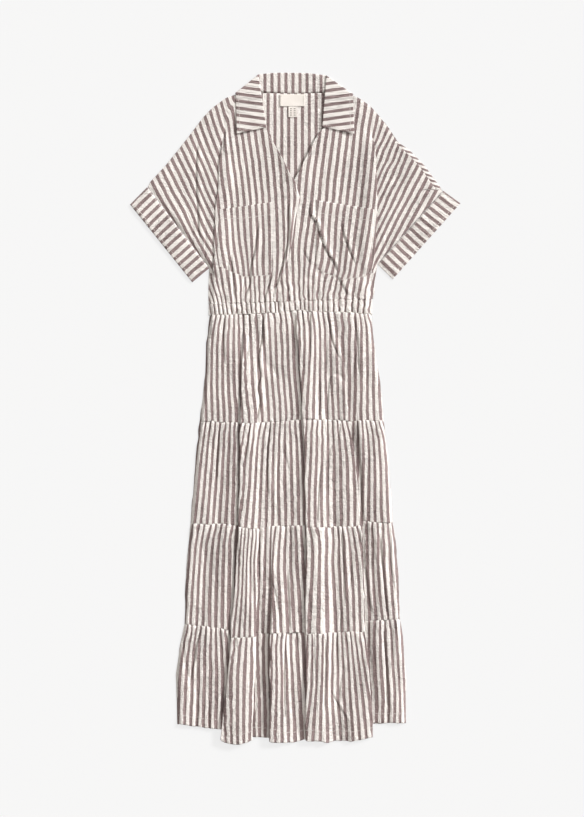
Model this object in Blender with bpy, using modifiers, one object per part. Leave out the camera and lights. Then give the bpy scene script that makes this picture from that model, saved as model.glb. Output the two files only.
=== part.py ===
"""A maxi wrap dress in crinkled striped cotton, laid out flat on its back.

Millimetres in the tables, metres in the scene. +Y runs from the hem to the collar, +X to the left side
of the wearer, +Z up from the surface that the dress lies on. The origin is at the bottom centre of the
whole dress. Every piece is a sheet of cloth: a grid of points from the tables below, thickened both ways.
"""

import math

import bmesh
import bpy
import numpy as np

MM = 0.001

# Cloth and layers -----------------------------------------------------------------------------------
CLOTH = 1.0  # wall of a panel
LABEL = 0.6  # wall of the woven labels
SEAM = 0.3  # gap between neighbouring pieces
TIER_SEAM = 0.4  # and between tiers, whose folds tilt their edges
LAYER = CLOTH + SEAM  # from one lying panel to the next
BACK_Z = CLOTH / 2  # middle of the back panels, whose underside is flat on the surface
FRONT_Z = BACK_Z + LAYER

# Folds: the cloth runs on under its edge, turns back, and turns again over the top ---------------------
FOLD_RISE = 2.2  # height gained at each of a fold's two turns
FOLD_LEAD = 6.0  # flat length before and after a fold
SHARP_TUCK = 4.0  # a shorter tuck than this is a swelling, not yet a doubled fold
REST = 3.0  # the upper layer stays level this far past the hidden turn
RAMP = 24.0  # and then sinks to the layer below over this length

# Skirt ----------------------------------------------------------------------------------------------
# Positions down the skirt: 0 is the waist seam, 1 to 3 are the seams between tiers, 4 is the hem.
TIERS = 4
SKIRT_INSET = 0.6  # the front's side edges end this much short of the back's
ROWS_DOWN = {
    1: (0.0, 0.12, 0.3, 0.65, 1.0),
    2: (0.0, 0.33, 0.67, 1.0),
    3: (0.0, 0.33, 0.67, 1.0),
    4: (0.0, 0.25, 0.6, 1.0),
}

# down | left edge | right edge
SKIRT_SIDES = (
    (0.00, -172, 152),
    (0.25, -178, 157),
    (0.55, -179, 167),
    (1.00, -191, 177),
    (1.25, -197, 183),
    (1.50, -201, 189),
    (2.00, -210, 195),
    (2.30, -215, 203),
    (2.60, -220, 207),
    (3.00, -222, 210),
    (3.25, -232, 217),
    (3.50, -239, 221),
    (4.00, -237, 222),
)

# Lengthwise folds from left to right. over: +1 where the right-hand layer is on top, -1 where the left is.
# name | over | edge at down 0, 0.3, 1, 2, 3, 4 | tuck at the same places
FOLD_DOWN = (0.0, 0.3, 1.0, 2.0, 3.0, 4.0)
SKIRT_FOLDS = (
    ("side_left", 1, (-102, -105, -107, -114, -137, -147), (0, 3, 8, 10, 14, 18)),
    ("crumpled", -1, (-72, -70, -68, -66, -78, -87), (0, 0, 0, 2, 9, 13)),
    ("short", 1, (-36, -40, -44, -47, -49, -49), (0, 0, 0, 0, 8, 14)),
    ("centre", 1, (-1, 6, 14, 21, 20, 22), (0, 5, 8, 12, 16, 20)),
    ("side_right", -1, (66, 90, 106, 114, 136, 155), (0, 5, 9, 14, 22, 30)),
)

# Height of each seam line at the left and right end of each stretch between folds.
# name | waist seam | seam 1 | seam 2 | seam 3 | hem, as left, right | sag of the hem | columns
SKIRT_PANELS = (
    ("a", (185, 188), (-26, -31), (-230, -234), (-432, -442), (-630, -641), 0, 5),
    ("b", (188, 189), (-31, -30), (-238, -241), (-457, -457), (-664, -662), -7.5, 4),
    ("c", (189, 190), (-30, -28), (-241, -237), (-449, -449), (-656, -658), 0, 3),
    ("d", (190, 195), (-28, -23), (-236, -234), (-449, -448), (-664, -661), -6, 5),
    ("e", (195, 192), (-23, -25), (-239, -236), (-451, -446), (-663, -656), -6, 9),
    ("f", (192, 187), (-25, -26), (-226, -230), (-425, -423), (-628, -630), 0, 5),
)
BACK_HEM_SAG = -26  # the back's hem hangs this much lower in its middle than at the sides

# Waist: an elasticated casing, a flattened tube ---------------------------------------------------------
CASING_TOP = {"left": 208, "right": 218}
CASING_FRONT_Z = FRONT_Z + 0.7

# Bodice ---------------------------------------------------------------------------------------------
# The sleeves are cut in one with the bodice: its edge runs along the arm, down the cuff's seam and down
# the side. Height | edge, from the shoulder's neck end to the casing.
LEFT_EDGE = (
    (629, -114),
    (620, -140),
    (600, -167),
    (580, -186),
    (548, -210),
    (516, -235),
    (484, -261),
    (453, -290),
    (442, -295.5),
    (280, -172.5),
    (245, -174),
    (205, -174),
)
RIGHT_EDGE = (
    (629, 105),
    (620, 128),
    (604, 151),
    (588, 165),
    (564, 185),
    (532, 206),
    (516, 229),
    (484, 260),
    (434.5, 295.5),
    (288, 164.5),
    (245, 158),
    (229, 159),
    (205, 154),
)
# Armhole folds, where the body lies over the sleeve. height | visible edge | tuck
LEFT_ARMHOLE = (
    (629, -104, 0),
    (600, -130, 0),
    (552, -140, 0),
    (530, -145, 4),
    (498, -150, 7),
    (436, -154, 11),
    (380, -159, 14),
    (332, -161, 16),
    (310, -161, 13),
    (288, -162, 8),
    (262, -164, 0),
    (205, -165, 0),
)
RIGHT_ARMHOLE = (
    (629, 102, 0),
    (600, 128, 0),
    (552, 152, 0),
    (530, 156, 4),
    (506, 158, 7),
    (454, 163, 11),
    (380, 162, 14),
    (332, 159, 16),
    (305, 157, 12),
    (286, 154, 6),
    (268, 150, 0),
    (205, 146, 0),
)
# Front edges: down the neckline under the collar, down the V and down the lap to the casing.
RIGHT_FRONT_EDGE = (  # worn on the right, seen on the left, and lapped on top
    (629, -93),
    (562.5, -65),
    (556.5, -57.5),
    (526, -41),
    (502, -27),
    (484, -18),
    (464, -8),
    (454, -1),
    (435, 5),
    (416, 10),
    (392, 3),
    (360, -3),
    (330, -7),
    (304, -13),
    (280, -21),
    (256, -29),
    (236, -37),
    (205, -39),
)
LEFT_FRONT_EDGE = (
    (629, 90),
    (562.5, 61),
    (556.5, 53),
    (536, 39),
    (512, 27),
    (495, 18),
    (480, 11),
    (464, 2),
    (440, -12),
    (400, -30),
    (340, -50),
    (280, -65),
    (205, -75),
)
LAP_START = 484  # above this height the two fronts lie side by side
LAP_FADE = 12  # and the lapped one rises over this height
LAP_REACH = 26  # it is already rising this far outside the hidden edge
LAP_RAMP = 20  # and over this width
LAP_RISE = LAYER + 0.1
CASING_ROW = 213  # where the last row reads the tables: it follows the casing's slanted top
# Above the casing
BODICE_ROWS = (
    (628, 612, 600, 580, 562.5, 556.5, 540, 518, 498, 480, 462)
    + (442, 420, 396, 360, 332, 310, 288, 280, 262, 245, 228)
)
FRONT_INSET = 0.9  # the fronts' outer edges end this much short of the back's
SLEEVE_COLUMNS = 5
BODY_COLUMNS = 7
PAST_FOLD = 2.0  # the body's first column lies this far past a flat fold's last

# The back neck rises over the part of the collar that is folded under it.
NECK_LIFT = LAYER + 0.1
NECK_LIFT_FOOT, NECK_LIFT_RUN = 560, 38  # height where it starts, and over which it rises
NECK_LIFT_SIDE, NECK_LIFT_FADE = 165, 45  # distance from the middle where it ends, and its ramp

# Patch pockets: height | height at the inner side | at the outer side
# name | inner x | outer gap to the armhole edge | top inner, outer | bottom inner, middle, outer
POCKETS = {
    "pocket_right": (-46, 6.0, 412, 397, 264, 260, 284),
    "pocket_left": (41, 5.0, 416, 397, 276, 254, 262),
}
POCKET_LIFT = 1.95  # from the front's middle to the pocket's
POCKET_ROWS = 9
POCKET_MARGIN = 4.0  # least width of the pocket's first column

# Cuffs: a band of doubled cloth, a flattened tube that is open at both ends ----------------------------
# name | seam top | seam bottom | edge top | edge bottom
CUFFS = {
    "cuff_right": ((-295.5, 442), (-172.5, 280), (-330, 407), (-206, 252)),
    "cuff_left": ((295.5, 434.5), (164.5, 288), (330, 409.5), (195, 258)),
}
CUFF_FRONT_Z = FRONT_Z + 0.6

# Collar: one strip, turned over at the roll. It is folded under the back neck and laid over the fronts.
# Plan points of each side: end of the roll, tip of the wing, shoulder end of the wing, roll's corner, and
# the neck seam at the shoulder.
COLLAR_SIDES = {
    "left": {
        "end": (-58, 561),
        "tip": (-117, 548),
        "shoulder": (-119, 627),
        "corner": (-74, 666),
        "neck": (-91, 632),
    },
    "right": {
        "end": (54, 562),
        "tip": (118, 548),
        "shoulder": (115, 625),
        "corner": (62, 664),
        "neck": (87, 631),
    },
}
COLLAR_BACK = {"roll": (-5, 670.0), "neck": (-5, 629), "outer": (-5, 606)}
ROLL = 1.2  # radius of the roll over the wings
BACK_ROLL = 1.9  # and of the roll behind the neck
STAND_Z = FRONT_Z + 0.1  # middle of the stand on the fronts, before the neck's lift
WING_RISE = LAYER + 0.1  # from the stand up to the wing
WING_START = 0.05  # the neck seam starts at this share of the wing's lower edge
WING_SECTIONS = (0.0, 0.22, 0.45, 0.7, 0.93)
BACK_SECTIONS = (0.2, 0.55, 1.0)
NECK_LIFT_AT_END, NECK_LIFT_SLOPE = 0.4, 1.4  # share of the neck's lift at the wing's end, and its growth
CORNER_RADIUS = 6.0
CORNER_STEP = 1.5  # sections at the corner lie this far apart

# Woven labels inside the back neck: centre x | top | width | length
LABELS = {"label": (-5.5, 627.2, 50, 24), "size_label": (-5, 602.6, 17, 21)}
LABEL_RISE = CLOTH / 2 + SEAM + LABEL / 2 + 0.05  # from the back's middle to a label's

COTTON_COLOUR = (0.78, 0.74, 0.70, 1.0)
COTTON_ROUGHNESS = 0.9
LABEL_COLOUR = (0.86, 0.82, 0.74, 1.0)


# Curves ---------------------------------------------------------------------------------------------
def smooth(value):
    value = np.clip(value, 0.0, 1.0)
    return value * value * (3 - 2 * value)


def at_height(table, height, column=1):
    """The table's column at this height. Heights run downwards."""
    rows = sorted(table)
    return float(np.interp(height, [row[0] for row in rows], [row[column] for row in rows]))


def mix(first, second, share):
    return np.asarray(first, float) * (1 - share) + np.asarray(second, float) * share


def fold_points(edge, tuck, over, base):
    """Seven (x, z) points across a fold, from left to right along the cloth."""
    reach = max(tuck, SHARP_TUCK)
    turn = FOLD_RISE / 2
    sharp = np.array(
        [
            (-FOLD_LEAD, 0),
            (reach, 0),
            (reach + turn, turn),
            (reach, FOLD_RISE),
            (0, FOLD_RISE),
            (-turn, FOLD_RISE + turn),
            (0, 2 * FOLD_RISE),
        ]
    )
    flat = np.array([(step, 0) for step in np.linspace(-FOLD_LEAD, FOLD_LEAD, len(sharp))])
    points = mix(flat, sharp, min(tuck / SHARP_TUCK, 1.0))
    if over < 0:
        points = (points * (-1, 1))[::-1]
    return points + (edge, base)


def fold_height(tuck):
    return 2 * FOLD_RISE * min(tuck / SHARP_TUCK, 1.0)


def fold_margins(tuck, over):
    """How far a fold's points reach to the left and to the right of its edge, leaving out the hidden turn."""
    upper = FOLD_LEAD * (1 - min(tuck / SHARP_TUCK, 1.0))
    return (FOLD_LEAD, upper) if over > 0 else (upper, FOLD_LEAD)


def panel_rise(x, left, right):
    """Height that the folds at its two ends give a stretch of cloth. Each end is (x, height, tuck)."""
    room = right[0] - left[0] - left[2] - right[2]
    if room < 2 * RAMP + 2 * REST:
        return np.interp(x, (left[0], right[0]), (left[1], right[1]))
    fallen_left = smooth((x - left[0] - left[2] - REST) / RAMP)
    fallen_right = smooth((right[0] - x - right[2] - REST) / RAMP)
    return left[1] * (1 - fallen_left) + right[1] * (1 - fallen_right)


def panel_columns(left, right, margins, count):
    """Where a stretch of cloth has its columns: at the ends of each ramp, and evenly between them."""
    inner_left, inner_right = left[0] + margins[0], right[0] - margins[1]
    ends = (inner_left, inner_right)
    stops = []
    if left[1]:
        stops += [left[0] + left[2] + REST, left[0] + left[2] + REST + RAMP]
        inner_left = stops[-1]
    if right[1]:
        inner_right = right[0] - right[2] - REST - RAMP
        stops += [inner_right, right[0] - right[2] - REST]
    if inner_right - inner_left < RAMP / 2 or len(stops) >= count:
        return np.linspace(*ends, count + 2)[1:-1]
    even = np.linspace(inner_left, inner_right, count - len(stops) + 2)[1:-1]
    return np.sort(np.concatenate([stops, even]))


# Skirt ----------------------------------------------------------------------------------------------
def skirt_side(down, right):
    downs, edges = [row[0] for row in SKIRT_SIDES], [row[1 + right] for row in SKIRT_SIDES]
    return float(np.interp(down, downs, edges))


def skirt_folds(down):
    """(edge, tuck, over) of each fold at this place down the skirt."""
    return [
        (float(np.interp(down, FOLD_DOWN, edges)), float(np.interp(down, FOLD_DOWN, tucks)), over)
        for _, over, edges, tucks in SKIRT_FOLDS
    ]


def skirt_section(down, inset):
    """(x, z) of the skirt's front across its width, and each point's place: (stretch, share, on a fold)."""
    folds = skirt_folds(down)
    left = (skirt_side(down, False) + inset, 0.0, 0.0)
    margin = 0.0
    end_x = skirt_side(down, True) - inset
    section, places = [(left[0], FRONT_Z)], [(0, 0.0, False)]
    for index, panel in enumerate(SKIRT_PANELS):
        last = index == len(folds)
        edge, tuck, over = (end_x, 0.0, 1) if last else folds[index]
        margins = (0.0, 0.0) if last else fold_margins(tuck, over)
        right = (edge, fold_height(tuck) if over < 0 else 0.0, tuck if over < 0 else 0.0)
        start, end = left[0] + margin, right[0] - margins[0]
        for x in panel_columns(left, right, (margin, margins[0]), panel[-1]):
            section.append((x, FRONT_Z + float(panel_rise(x, left, right))))
            places.append((index, (x - start) / (end - start), False))
        if last:
            section.append((end_x, FRONT_Z))
            places.append((index, 1.0, False))
            break
        points = fold_points(edge, tuck, over, FRONT_Z)
        section.extend(points)
        # A seam's step in height is spread along the fold's cloth.
        lengths = np.concatenate([[0], np.cumsum(np.hypot(*np.diff(points, axis=0).T))])
        places.extend((index, share, True) for share in lengths / lengths[-1])
        left = (edge, fold_height(tuck) if over > 0 else 0.0, tuck if over > 0 else 0.0)
        margin = margins[1]
    return section, places


def seam_height(seam, place):
    """Height of a seam line, from 0 at the waist to 4 at the hem, at one place across the front."""
    stretch, share, on_fold = place
    if on_fold:  # from the end of one stretch to the start of the next
        ends = SKIRT_PANELS[stretch][1 + seam][1], SKIRT_PANELS[stretch + 1][1 + seam][0]
        return float(mix(*ends, share))
    left, right = SKIRT_PANELS[stretch][1 + seam]
    sag = SKIRT_PANELS[stretch][6] if seam == TIERS else 0
    return left + (right - left) * share + sag * 4 * share * (1 - share)


def tier_front(tier):
    rows = []
    for share in ROWS_DOWN[tier]:
        section, places = skirt_section(tier - 1 + share, SKIRT_INSET)
        row = []
        for (x, z), place in zip(section, places):
            top = seam_height(tier - 1, place) - TIER_SEAM / 2
            bottom = seam_height(tier, place) + (TIER_SEAM / 2 if tier < TIERS else 0)
            row.append((x, top + (bottom - top) * share, z))
        rows.append(row)
    return rows


def tier_back(tier, columns=9):
    rows = []
    for share in ROWS_DOWN[tier]:
        down = tier - 1 + share
        row = []
        for across in np.linspace(0, 1, columns):
            ends = [
                float(mix(SKIRT_PANELS[0][1 + seam][0], SKIRT_PANELS[-1][1 + seam][1], across))
                for seam in (tier - 1, tier)
            ]
            bow = BACK_HEM_SAG * float(smooth((across - 0.15) / 0.2) * smooth((0.85 - across) / 0.2))
            top = ends[0] + bow * (tier - 1) / TIERS - SEAM / 2
            bottom = ends[1] + bow * tier / TIERS + (SEAM / 2 if tier < TIERS else 0)
            x = skirt_side(down, False) * (1 - across) + skirt_side(down, True) * across
            row.append((x, top + (bottom - top) * share, BACK_Z))
        rows.append(row)
    return rows


# Waist ----------------------------------------------------------------------------------------------
def casing_top(x):
    return float(np.interp(x, (-172, 152), (CASING_TOP["left"], CASING_TOP["right"])))


def waist_ends():
    """Both ends of each stretch of the waist seam, left to right."""
    starts = [fold[2][0] + step for fold in SKIRT_FOLDS for step in (-FOLD_LEAD, FOLD_LEAD)]
    return [skirt_side(0, False)] + starts + [skirt_side(0, True)]


def waist_height(x):
    """The waist seam on the front at this x."""
    heights = [height for panel in SKIRT_PANELS for height in panel[1]]
    return float(np.interp(x, waist_ends(), heights))


def waistband():
    """Rows of a closed loop: along the back, up round one side, along the front, and down the other."""
    rows = []
    left, right = skirt_side(0, False), skirt_side(0, True)
    middle = (BACK_Z + CASING_FRONT_Z) / 2
    turn = (CASING_FRONT_Z - BACK_Z) / 2
    ends = waist_ends()
    ends[0] += turn
    ends[-1] -= turn
    loop = [(x, BACK_Z) for x in ends] + [(right, middle)]
    loop += [(x, CASING_FRONT_Z) for x in ends[::-1]] + [(left, middle)]
    for share in (0.0, 1.0):
        row = []
        for x, z in loop + loop[:1]:
            # The back's seam runs straight between the side seams, and the front's is gathered unevenly.
            back_seam = np.interp(x, (left, right), (waist_height(left), waist_height(right)))
            seam = back_seam if z < middle + 0.01 else waist_height(x)
            top, bottom = casing_top(x) - SEAM / 2, seam + SEAM / 2
            row.append((x, top + (bottom - top) * share, z))
        rows.append(row)
    return rows


# Bodice ---------------------------------------------------------------------------------------------
def neck_lift(x, height):
    """How far the back and all that lies on it rises over the collar's under layer."""
    upwards = smooth((height - NECK_LIFT_FOOT) / NECK_LIFT_RUN)
    inwards = smooth((NECK_LIFT_SIDE - abs(x)) / NECK_LIFT_FADE)
    return NECK_LIFT * float(upwards * inwards)


def row_height(height, x):
    return casing_top(x) + SEAM / 2 if height == CASING_ROW else height


def back_bodice(columns=19):
    rows = []
    for height in (*BODICE_ROWS, CASING_ROW):
        left, right = at_height(LEFT_EDGE, height) + SEAM, at_height(RIGHT_EDGE, height) - SEAM
        line = []
        for across in np.linspace(0, 1, columns):
            x = left + (right - left) * across
            y = row_height(height, x)
            line.append((x, y, BACK_Z + neck_lift(x, y)))
        rows.append(line)
    return rows


def lap_rise(x, height):
    """How far the lapped front rises over the front beneath it, whose edge is hidden."""
    under_edge = at_height(LEFT_FRONT_EDGE, height)
    across = smooth((x - under_edge + LAP_REACH) / LAP_RAMP)
    return LAP_RISE * float(across * smooth((LAP_START - height) / LAP_FADE))


def body_height(side, x, height):
    """Middle of a front's body at a plan point, inwards of its armhole fold."""
    table = LEFT_ARMHOLE if side < 0 else RIGHT_ARMHOLE
    edge, tuck = at_height(table, height), at_height(table, height, 2)
    inwards = (x - edge) * -side
    rise = fold_height(tuck) * (1 - float(smooth((inwards - tuck - REST) / RAMP)))
    lap = lap_rise(x, height) if side < 0 else 0.0
    return FRONT_Z + neck_lift(x, height) + rise + lap


def lying_height(side, x, height):
    """The same, read straight between the front's own rows, so that a piece laid on it follows them."""
    above = min(row for row in BODICE_ROWS if row >= height)
    below = max(row for row in BODICE_ROWS if row <= height)
    share = (above - height) / (above - below) if above > below else 0.0
    return body_height(side, x, above) * (1 - share) + body_height(side, x, below) * share


def front(side):
    """A front with its sleeve. side is -1 for the one seen on the left, 1 for the other."""
    outer = LEFT_EDGE if side < 0 else RIGHT_EDGE
    fold = LEFT_ARMHOLE if side < 0 else RIGHT_ARMHOLE
    inner = RIGHT_FRONT_EDGE if side < 0 else LEFT_FRONT_EDGE
    rows = []
    for height in (*BODICE_ROWS, CASING_ROW):
        out_x, in_x = at_height(outer, height) - side * FRONT_INSET, at_height(inner, height)
        edge, tuck = at_height(fold, height), at_height(fold, height, 2)
        sleeve = np.linspace(out_x, edge + side * FOLD_LEAD, SLEEVE_COLUMNS + 1)[:-1]
        points = [(x, FRONT_Z + neck_lift(x, height)) for x in sleeve]
        # The fold's points are worked out as if seen on the left, and mirrored for the other side.
        for x, z in fold_points(0.0, tuck, 1, 0.0):
            points.append((edge - side * x, FRONT_Z + neck_lift(edge, height) + z))
        # From the fold to the front edge.
        reach, width = max(tuck + REST, FOLD_LEAD + PAST_FOLD), abs(in_x - edge)
        if width > reach + 2 * RAMP:
            steps = [reach, reach + RAMP / 2, reach + RAMP]
            steps += list(np.linspace(reach + RAMP, width, BODY_COLUMNS + 1)[1:])
        else:
            steps = list(np.linspace(min(FOLD_LEAD + PAST_FOLD, width / 2), width, BODY_COLUMNS + 3))
        for step in steps:
            x = edge - side * step
            points.append((x, body_height(side, x, height)))
        rows.append([(x, row_height(height, x), z) for x, z in points])
    return rows


def pocket(name):
    side = -1 if name == "pocket_right" else 1
    fold = LEFT_ARMHOLE if side < 0 else RIGHT_ARMHOLE
    inner_x, gap, top_in, top_out, low_in, low_mid, low_out = POCKETS[name]
    rows = []
    for share in np.linspace(0, 1, POCKET_ROWS):
        row = []
        middle_height = (top_in + top_out) / 2 * (1 - share) + low_mid * share
        edge, tuck = at_height(fold, middle_height), at_height(fold, middle_height, 2)
        outer_x = edge - side * gap
        width = abs(inner_x - outer_x)
        reach = max(tuck + REST - gap, POCKET_MARGIN)
        steps = [0, reach, reach + RAMP / 2, reach + RAMP]
        steps += list(np.linspace(reach + RAMP, width, 5)[1:])
        for step in steps:
            x = outer_x - side * step
            inwards = step / width
            top = top_out + (top_in - top_out) * inwards
            low = np.interp(inwards, (0, 0.5, 1), (low_out, low_mid, low_in))
            y = top * (1 - share) + low * share
            row.append((x, y, lying_height(side, x, y) + POCKET_LIFT))
        rows.append(row)
    return rows


# Cuffs ----------------------------------------------------------------------------------------------
def cuff(name):
    seam_top, seam_bottom, edge_top, edge_bottom = (np.array(point, float) for point in CUFFS[name])
    turn = (CUFF_FRONT_Z - BACK_Z) / 2
    length = math.dist(seam_top, seam_bottom)
    ends = turn / length
    shares = [ends, 0.25, 0.5, 0.75, 1 - ends]
    loop = [(share, BACK_Z) for share in shares] + [(1.0, BACK_Z + turn)]
    loop += [(share, CUFF_FRONT_Z) for share in shares[::-1]] + [(0.0, BACK_Z + turn)]
    rows = []
    outwards = (edge_top - seam_top) / math.dist(edge_top, seam_top)
    for along in (0.0, 0.5, 1.0):
        top = mix(seam_top, edge_top, along) + outwards * SEAM * (1 - along)
        bottom = mix(seam_bottom, edge_bottom, along) + outwards * SEAM * (1 - along)
        rows.append([(*mix(top, bottom, share), z) for share, z in loop + loop[:1]])
    return rows


# Collar ---------------------------------------------------------------------------------------------
def collar_section(neck, roll, outer, heights, radius):
    """Seven points across the collar: neck seam, stand, the turn at the roll, and the fall to its edge."""
    neck, roll, outer = (np.array(point, float) for point in (neck, roll, outer))
    stand_z, top_z, apex_z, fall_z, edge_z = heights
    inwards = (neck - roll) / math.dist(neck, roll)
    outwards = (outer - roll) / math.dist(outer, roll)
    plan = [neck, mix(neck, roll, 0.55), roll + inwards * radius]
    plan += [roll, roll + outwards * radius, mix(roll, outer, 0.5), outer]
    levels = [stand_z, (stand_z + top_z) / 2, top_z, apex_z, fall_z, (fall_z + edge_z) / 2, edge_z]
    return [(x, y, z) for (x, y), z in zip(plan, levels)]


def collar_half(side):
    """Sections from the wing's end to the middle of the back neck."""
    plan = {key: np.array(point, float) for key, point in COLLAR_SIDES[side].items()}
    stand = STAND_Z + NECK_LIFT
    rows = []
    neck_start = mix(plan["end"], plan["tip"], WING_START)
    for share in WING_SECTIONS:
        roll = mix(plan["end"], plan["corner"], share)
        neck = mix(neck_start, plan["neck"], share)
        outer = mix(plan["tip"], plan["shoulder"], share)
        here = STAND_Z + NECK_LIFT * min(1.0, NECK_LIFT_AT_END + share * NECK_LIFT_SLOPE)
        heights = (here, here, here + ROLL, here + 2 * ROLL, here + WING_RISE)
        rows.append(collar_section(neck, roll, outer, heights, ROLL))
    # The fall turns under along the line from the roll's corner to the shoulder.
    corner, shoulder, neck = plan["corner"], plan["shoulder"], plan["neck"]
    line = (shoulder - corner) / math.dist(shoulder, corner)
    outwards = np.array([line[1], -line[0]])
    outwards *= math.copysign(1.0, outwards[1])
    under, over = BACK_Z, stand + WING_RISE
    middle, away = (under + over) / 2, (over - under) / 2
    step = np.array([math.copysign(CORNER_STEP, COLLAR_BACK["roll"][0] - corner[0]), 1.0])
    heights = (stand - 0.2, stand, stand + 0.8, over, over)
    rows.append(collar_section(neck, corner, shoulder, heights, CORNER_RADIUS))
    turn = shoulder + outwards * away
    heights = (stand - 0.3, stand + 0.3, middle + 0.9, middle, middle)
    rows.append(collar_section(neck + step, corner + step, turn, heights, CORNER_RADIUS))
    hidden = shoulder + line * -2
    heights = (stand - 0.4, stand + 0.9, middle + 0.6, under, under)
    rows.append(collar_section(neck + step * 2, corner + step * 2, hidden, heights, CORNER_RADIUS))
    # Behind the neck the stand lies on top and the fall beneath the back.
    heights = (BACK_Z + NECK_LIFT, BACK_Z + 2 * BACK_ROLL, BACK_Z + BACK_ROLL, under, under)
    for share in BACK_SECTIONS:
        roll = mix(corner + step * 2, COLLAR_BACK["roll"], share)
        outer = mix(shoulder, COLLAR_BACK["outer"], share)
        neck_here = mix(neck + step * 2, COLLAR_BACK["neck"], min(share * 1.3, 1.0))
        neck_here[1] = max(neck_here[1], COLLAR_BACK["neck"][1])
        rows.append(collar_section(neck_here, roll, outer, heights, BACK_ROLL))
    return rows


def collar():
    return collar_half("left") + collar_half("right")[::-1][1:]


def label(name):
    centre, top, width, length = LABELS[name]
    across = [centre - width / 2, centre, centre + width / 2]
    downs = [top - length * share for share in (0.0, 0.5, 1.0)]
    return [[(x, y, BACK_Z + neck_lift(x, y) + LABEL_RISE) for x in across] for y in downs]


# Blender --------------------------------------------------------------------------------------------
def material(name, colour, roughness):
    made = bpy.data.materials.new(name)
    made.use_nodes = True
    shader = made.node_tree.nodes["Principled BSDF"]
    shader.inputs["Base Color"].default_value = colour
    shader.inputs["Roughness"].default_value = roughness
    shader.inputs["Metallic"].default_value = 0.0
    return made


def sheet(name, rows, thickness, cloth, collection, tube=False):
    """A grid of points as an open surface, thickened both ways. A tube's first and last columns meet."""
    points = np.array(rows, float) * MM
    down, across = points.shape[0] - 1, points.shape[1] - 1
    shape = bmesh.new()
    bmesh.ops.create_grid(shape, x_segments=across, y_segments=down, size=1.0)
    for vertex in shape.verts:
        column = round((vertex.co.x + 1) / 2 * across)
        row = round((1 - vertex.co.y) / 2 * down)
        vertex.co = points[row, column]
    if tube:
        bmesh.ops.remove_doubles(shape, verts=shape.verts, dist=1e-6)
    mesh = bpy.data.meshes.new(name)
    shape.to_mesh(mesh)
    shape.free()
    mesh.materials.append(cloth)
    mesh.shade_smooth()
    mesh.set_sharp_from_angle(angle=math.radians(50))
    piece = bpy.data.objects.new(name, mesh)
    collection.objects.link(piece)
    wall = piece.modifiers.new("wall", "SOLIDIFY")
    wall.thickness = thickness * MM
    wall.offset = 0.0
    return piece


def main():
    for leftover in list(bpy.data.objects):
        bpy.data.objects.remove(leftover)
    dress = bpy.data.collections.new("wrap_dress")
    bpy.context.scene.collection.children.link(dress)
    cotton = material("striped_cotton", COTTON_COLOUR, COTTON_ROUGHNESS)
    woven = material("label", LABEL_COLOUR, COTTON_ROUGHNESS)

    sheet("back_bodice", back_bodice(), CLOTH, cotton, dress)
    sheet("front_right", front(-1), CLOTH, cotton, dress)
    sheet("front_left", front(1), CLOTH, cotton, dress)
    for name in POCKETS:
        sheet(name, pocket(name), CLOTH, cotton, dress)
    for name in CUFFS:
        sheet(name, cuff(name), CLOTH, cotton, dress, tube=True)
    sheet("collar", collar(), CLOTH, cotton, dress)
    sheet("waistband", waistband(), CLOTH, cotton, dress, tube=True)
    for tier in range(1, TIERS + 1):
        sheet(f"tier_{tier}_front", tier_front(tier), CLOTH, cotton, dress)
        sheet(f"tier_{tier}_back", tier_back(tier), CLOTH, cotton, dress)
    for name in LABELS:
        sheet(name, label(name), LABEL, woven, dress)


main()
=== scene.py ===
"""Looks of the wrap dress: every cut piece as a thin crinkled shell on its solid's form.

Millimetres in the tables, metres in the scene. +Y runs from the hem to the collar, +X to the left side
of the wearer, +Z up from the surface that the dress lies on. Each piece is a grid of points, rows down
the cloth and columns across it. Stripes are placed by guide stripes, and read by number.
The tables of guide stripes and of outer edges aren't drawn by hand: separate programs measured the
photograph, and the numbers here were picked from theirs, rounded to millimetres and in part adjusted.
A side is -1 at -X, the wearer's right, and 1 at +X. Left and right in the code are as seen from above.
"""

import math
from collections import namedtuple

import bpy
import numpy as np
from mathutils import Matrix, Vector
from mathutils.bvhtree import BVHTree

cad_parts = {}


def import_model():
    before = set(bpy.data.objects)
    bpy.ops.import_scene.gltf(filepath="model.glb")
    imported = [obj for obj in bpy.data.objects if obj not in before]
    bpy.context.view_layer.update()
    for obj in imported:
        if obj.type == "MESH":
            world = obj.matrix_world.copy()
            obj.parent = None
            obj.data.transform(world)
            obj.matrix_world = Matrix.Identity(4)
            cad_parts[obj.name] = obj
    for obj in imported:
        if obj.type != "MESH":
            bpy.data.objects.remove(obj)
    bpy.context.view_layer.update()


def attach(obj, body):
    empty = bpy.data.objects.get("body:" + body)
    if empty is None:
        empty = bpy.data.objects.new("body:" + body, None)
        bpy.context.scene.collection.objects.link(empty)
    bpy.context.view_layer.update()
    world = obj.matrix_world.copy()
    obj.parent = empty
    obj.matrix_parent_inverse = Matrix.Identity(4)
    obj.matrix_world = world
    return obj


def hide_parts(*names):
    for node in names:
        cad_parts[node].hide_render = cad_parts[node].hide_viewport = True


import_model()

MM = 0.001
QUARTER = math.pi / 2
WALL = 0.7  # cloth, thinner than its solid
LABEL_WALL = 0.4
CLEARANCE = 0.05  # least air between two pieces
BUTT = 0.15  # how far a piece runs on under its neighbour where no lap shows
PITCH = 14.1  # from one brown stripe to the next
BROWN_SHARE = 0.485
UV = "cloth"

# Layers, as in the solids, with a little air under the front
BACK_Z = 0.5
FRONT_Z = 1.8
LAYER = 1.3
AIR = 2.6  # under the gathered part of a bodice front
CHEST_AIR = 1.2
SKIRT_AIR = 3.4
SOFT_TOP, HIGHEST = 13.0, 17.5  # the skirt's heights over the first are eased to stay under the second
SIDE_DROP, SIDE_REACH = 1.0, 5.0  # the front's side edges come down to the back's

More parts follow.
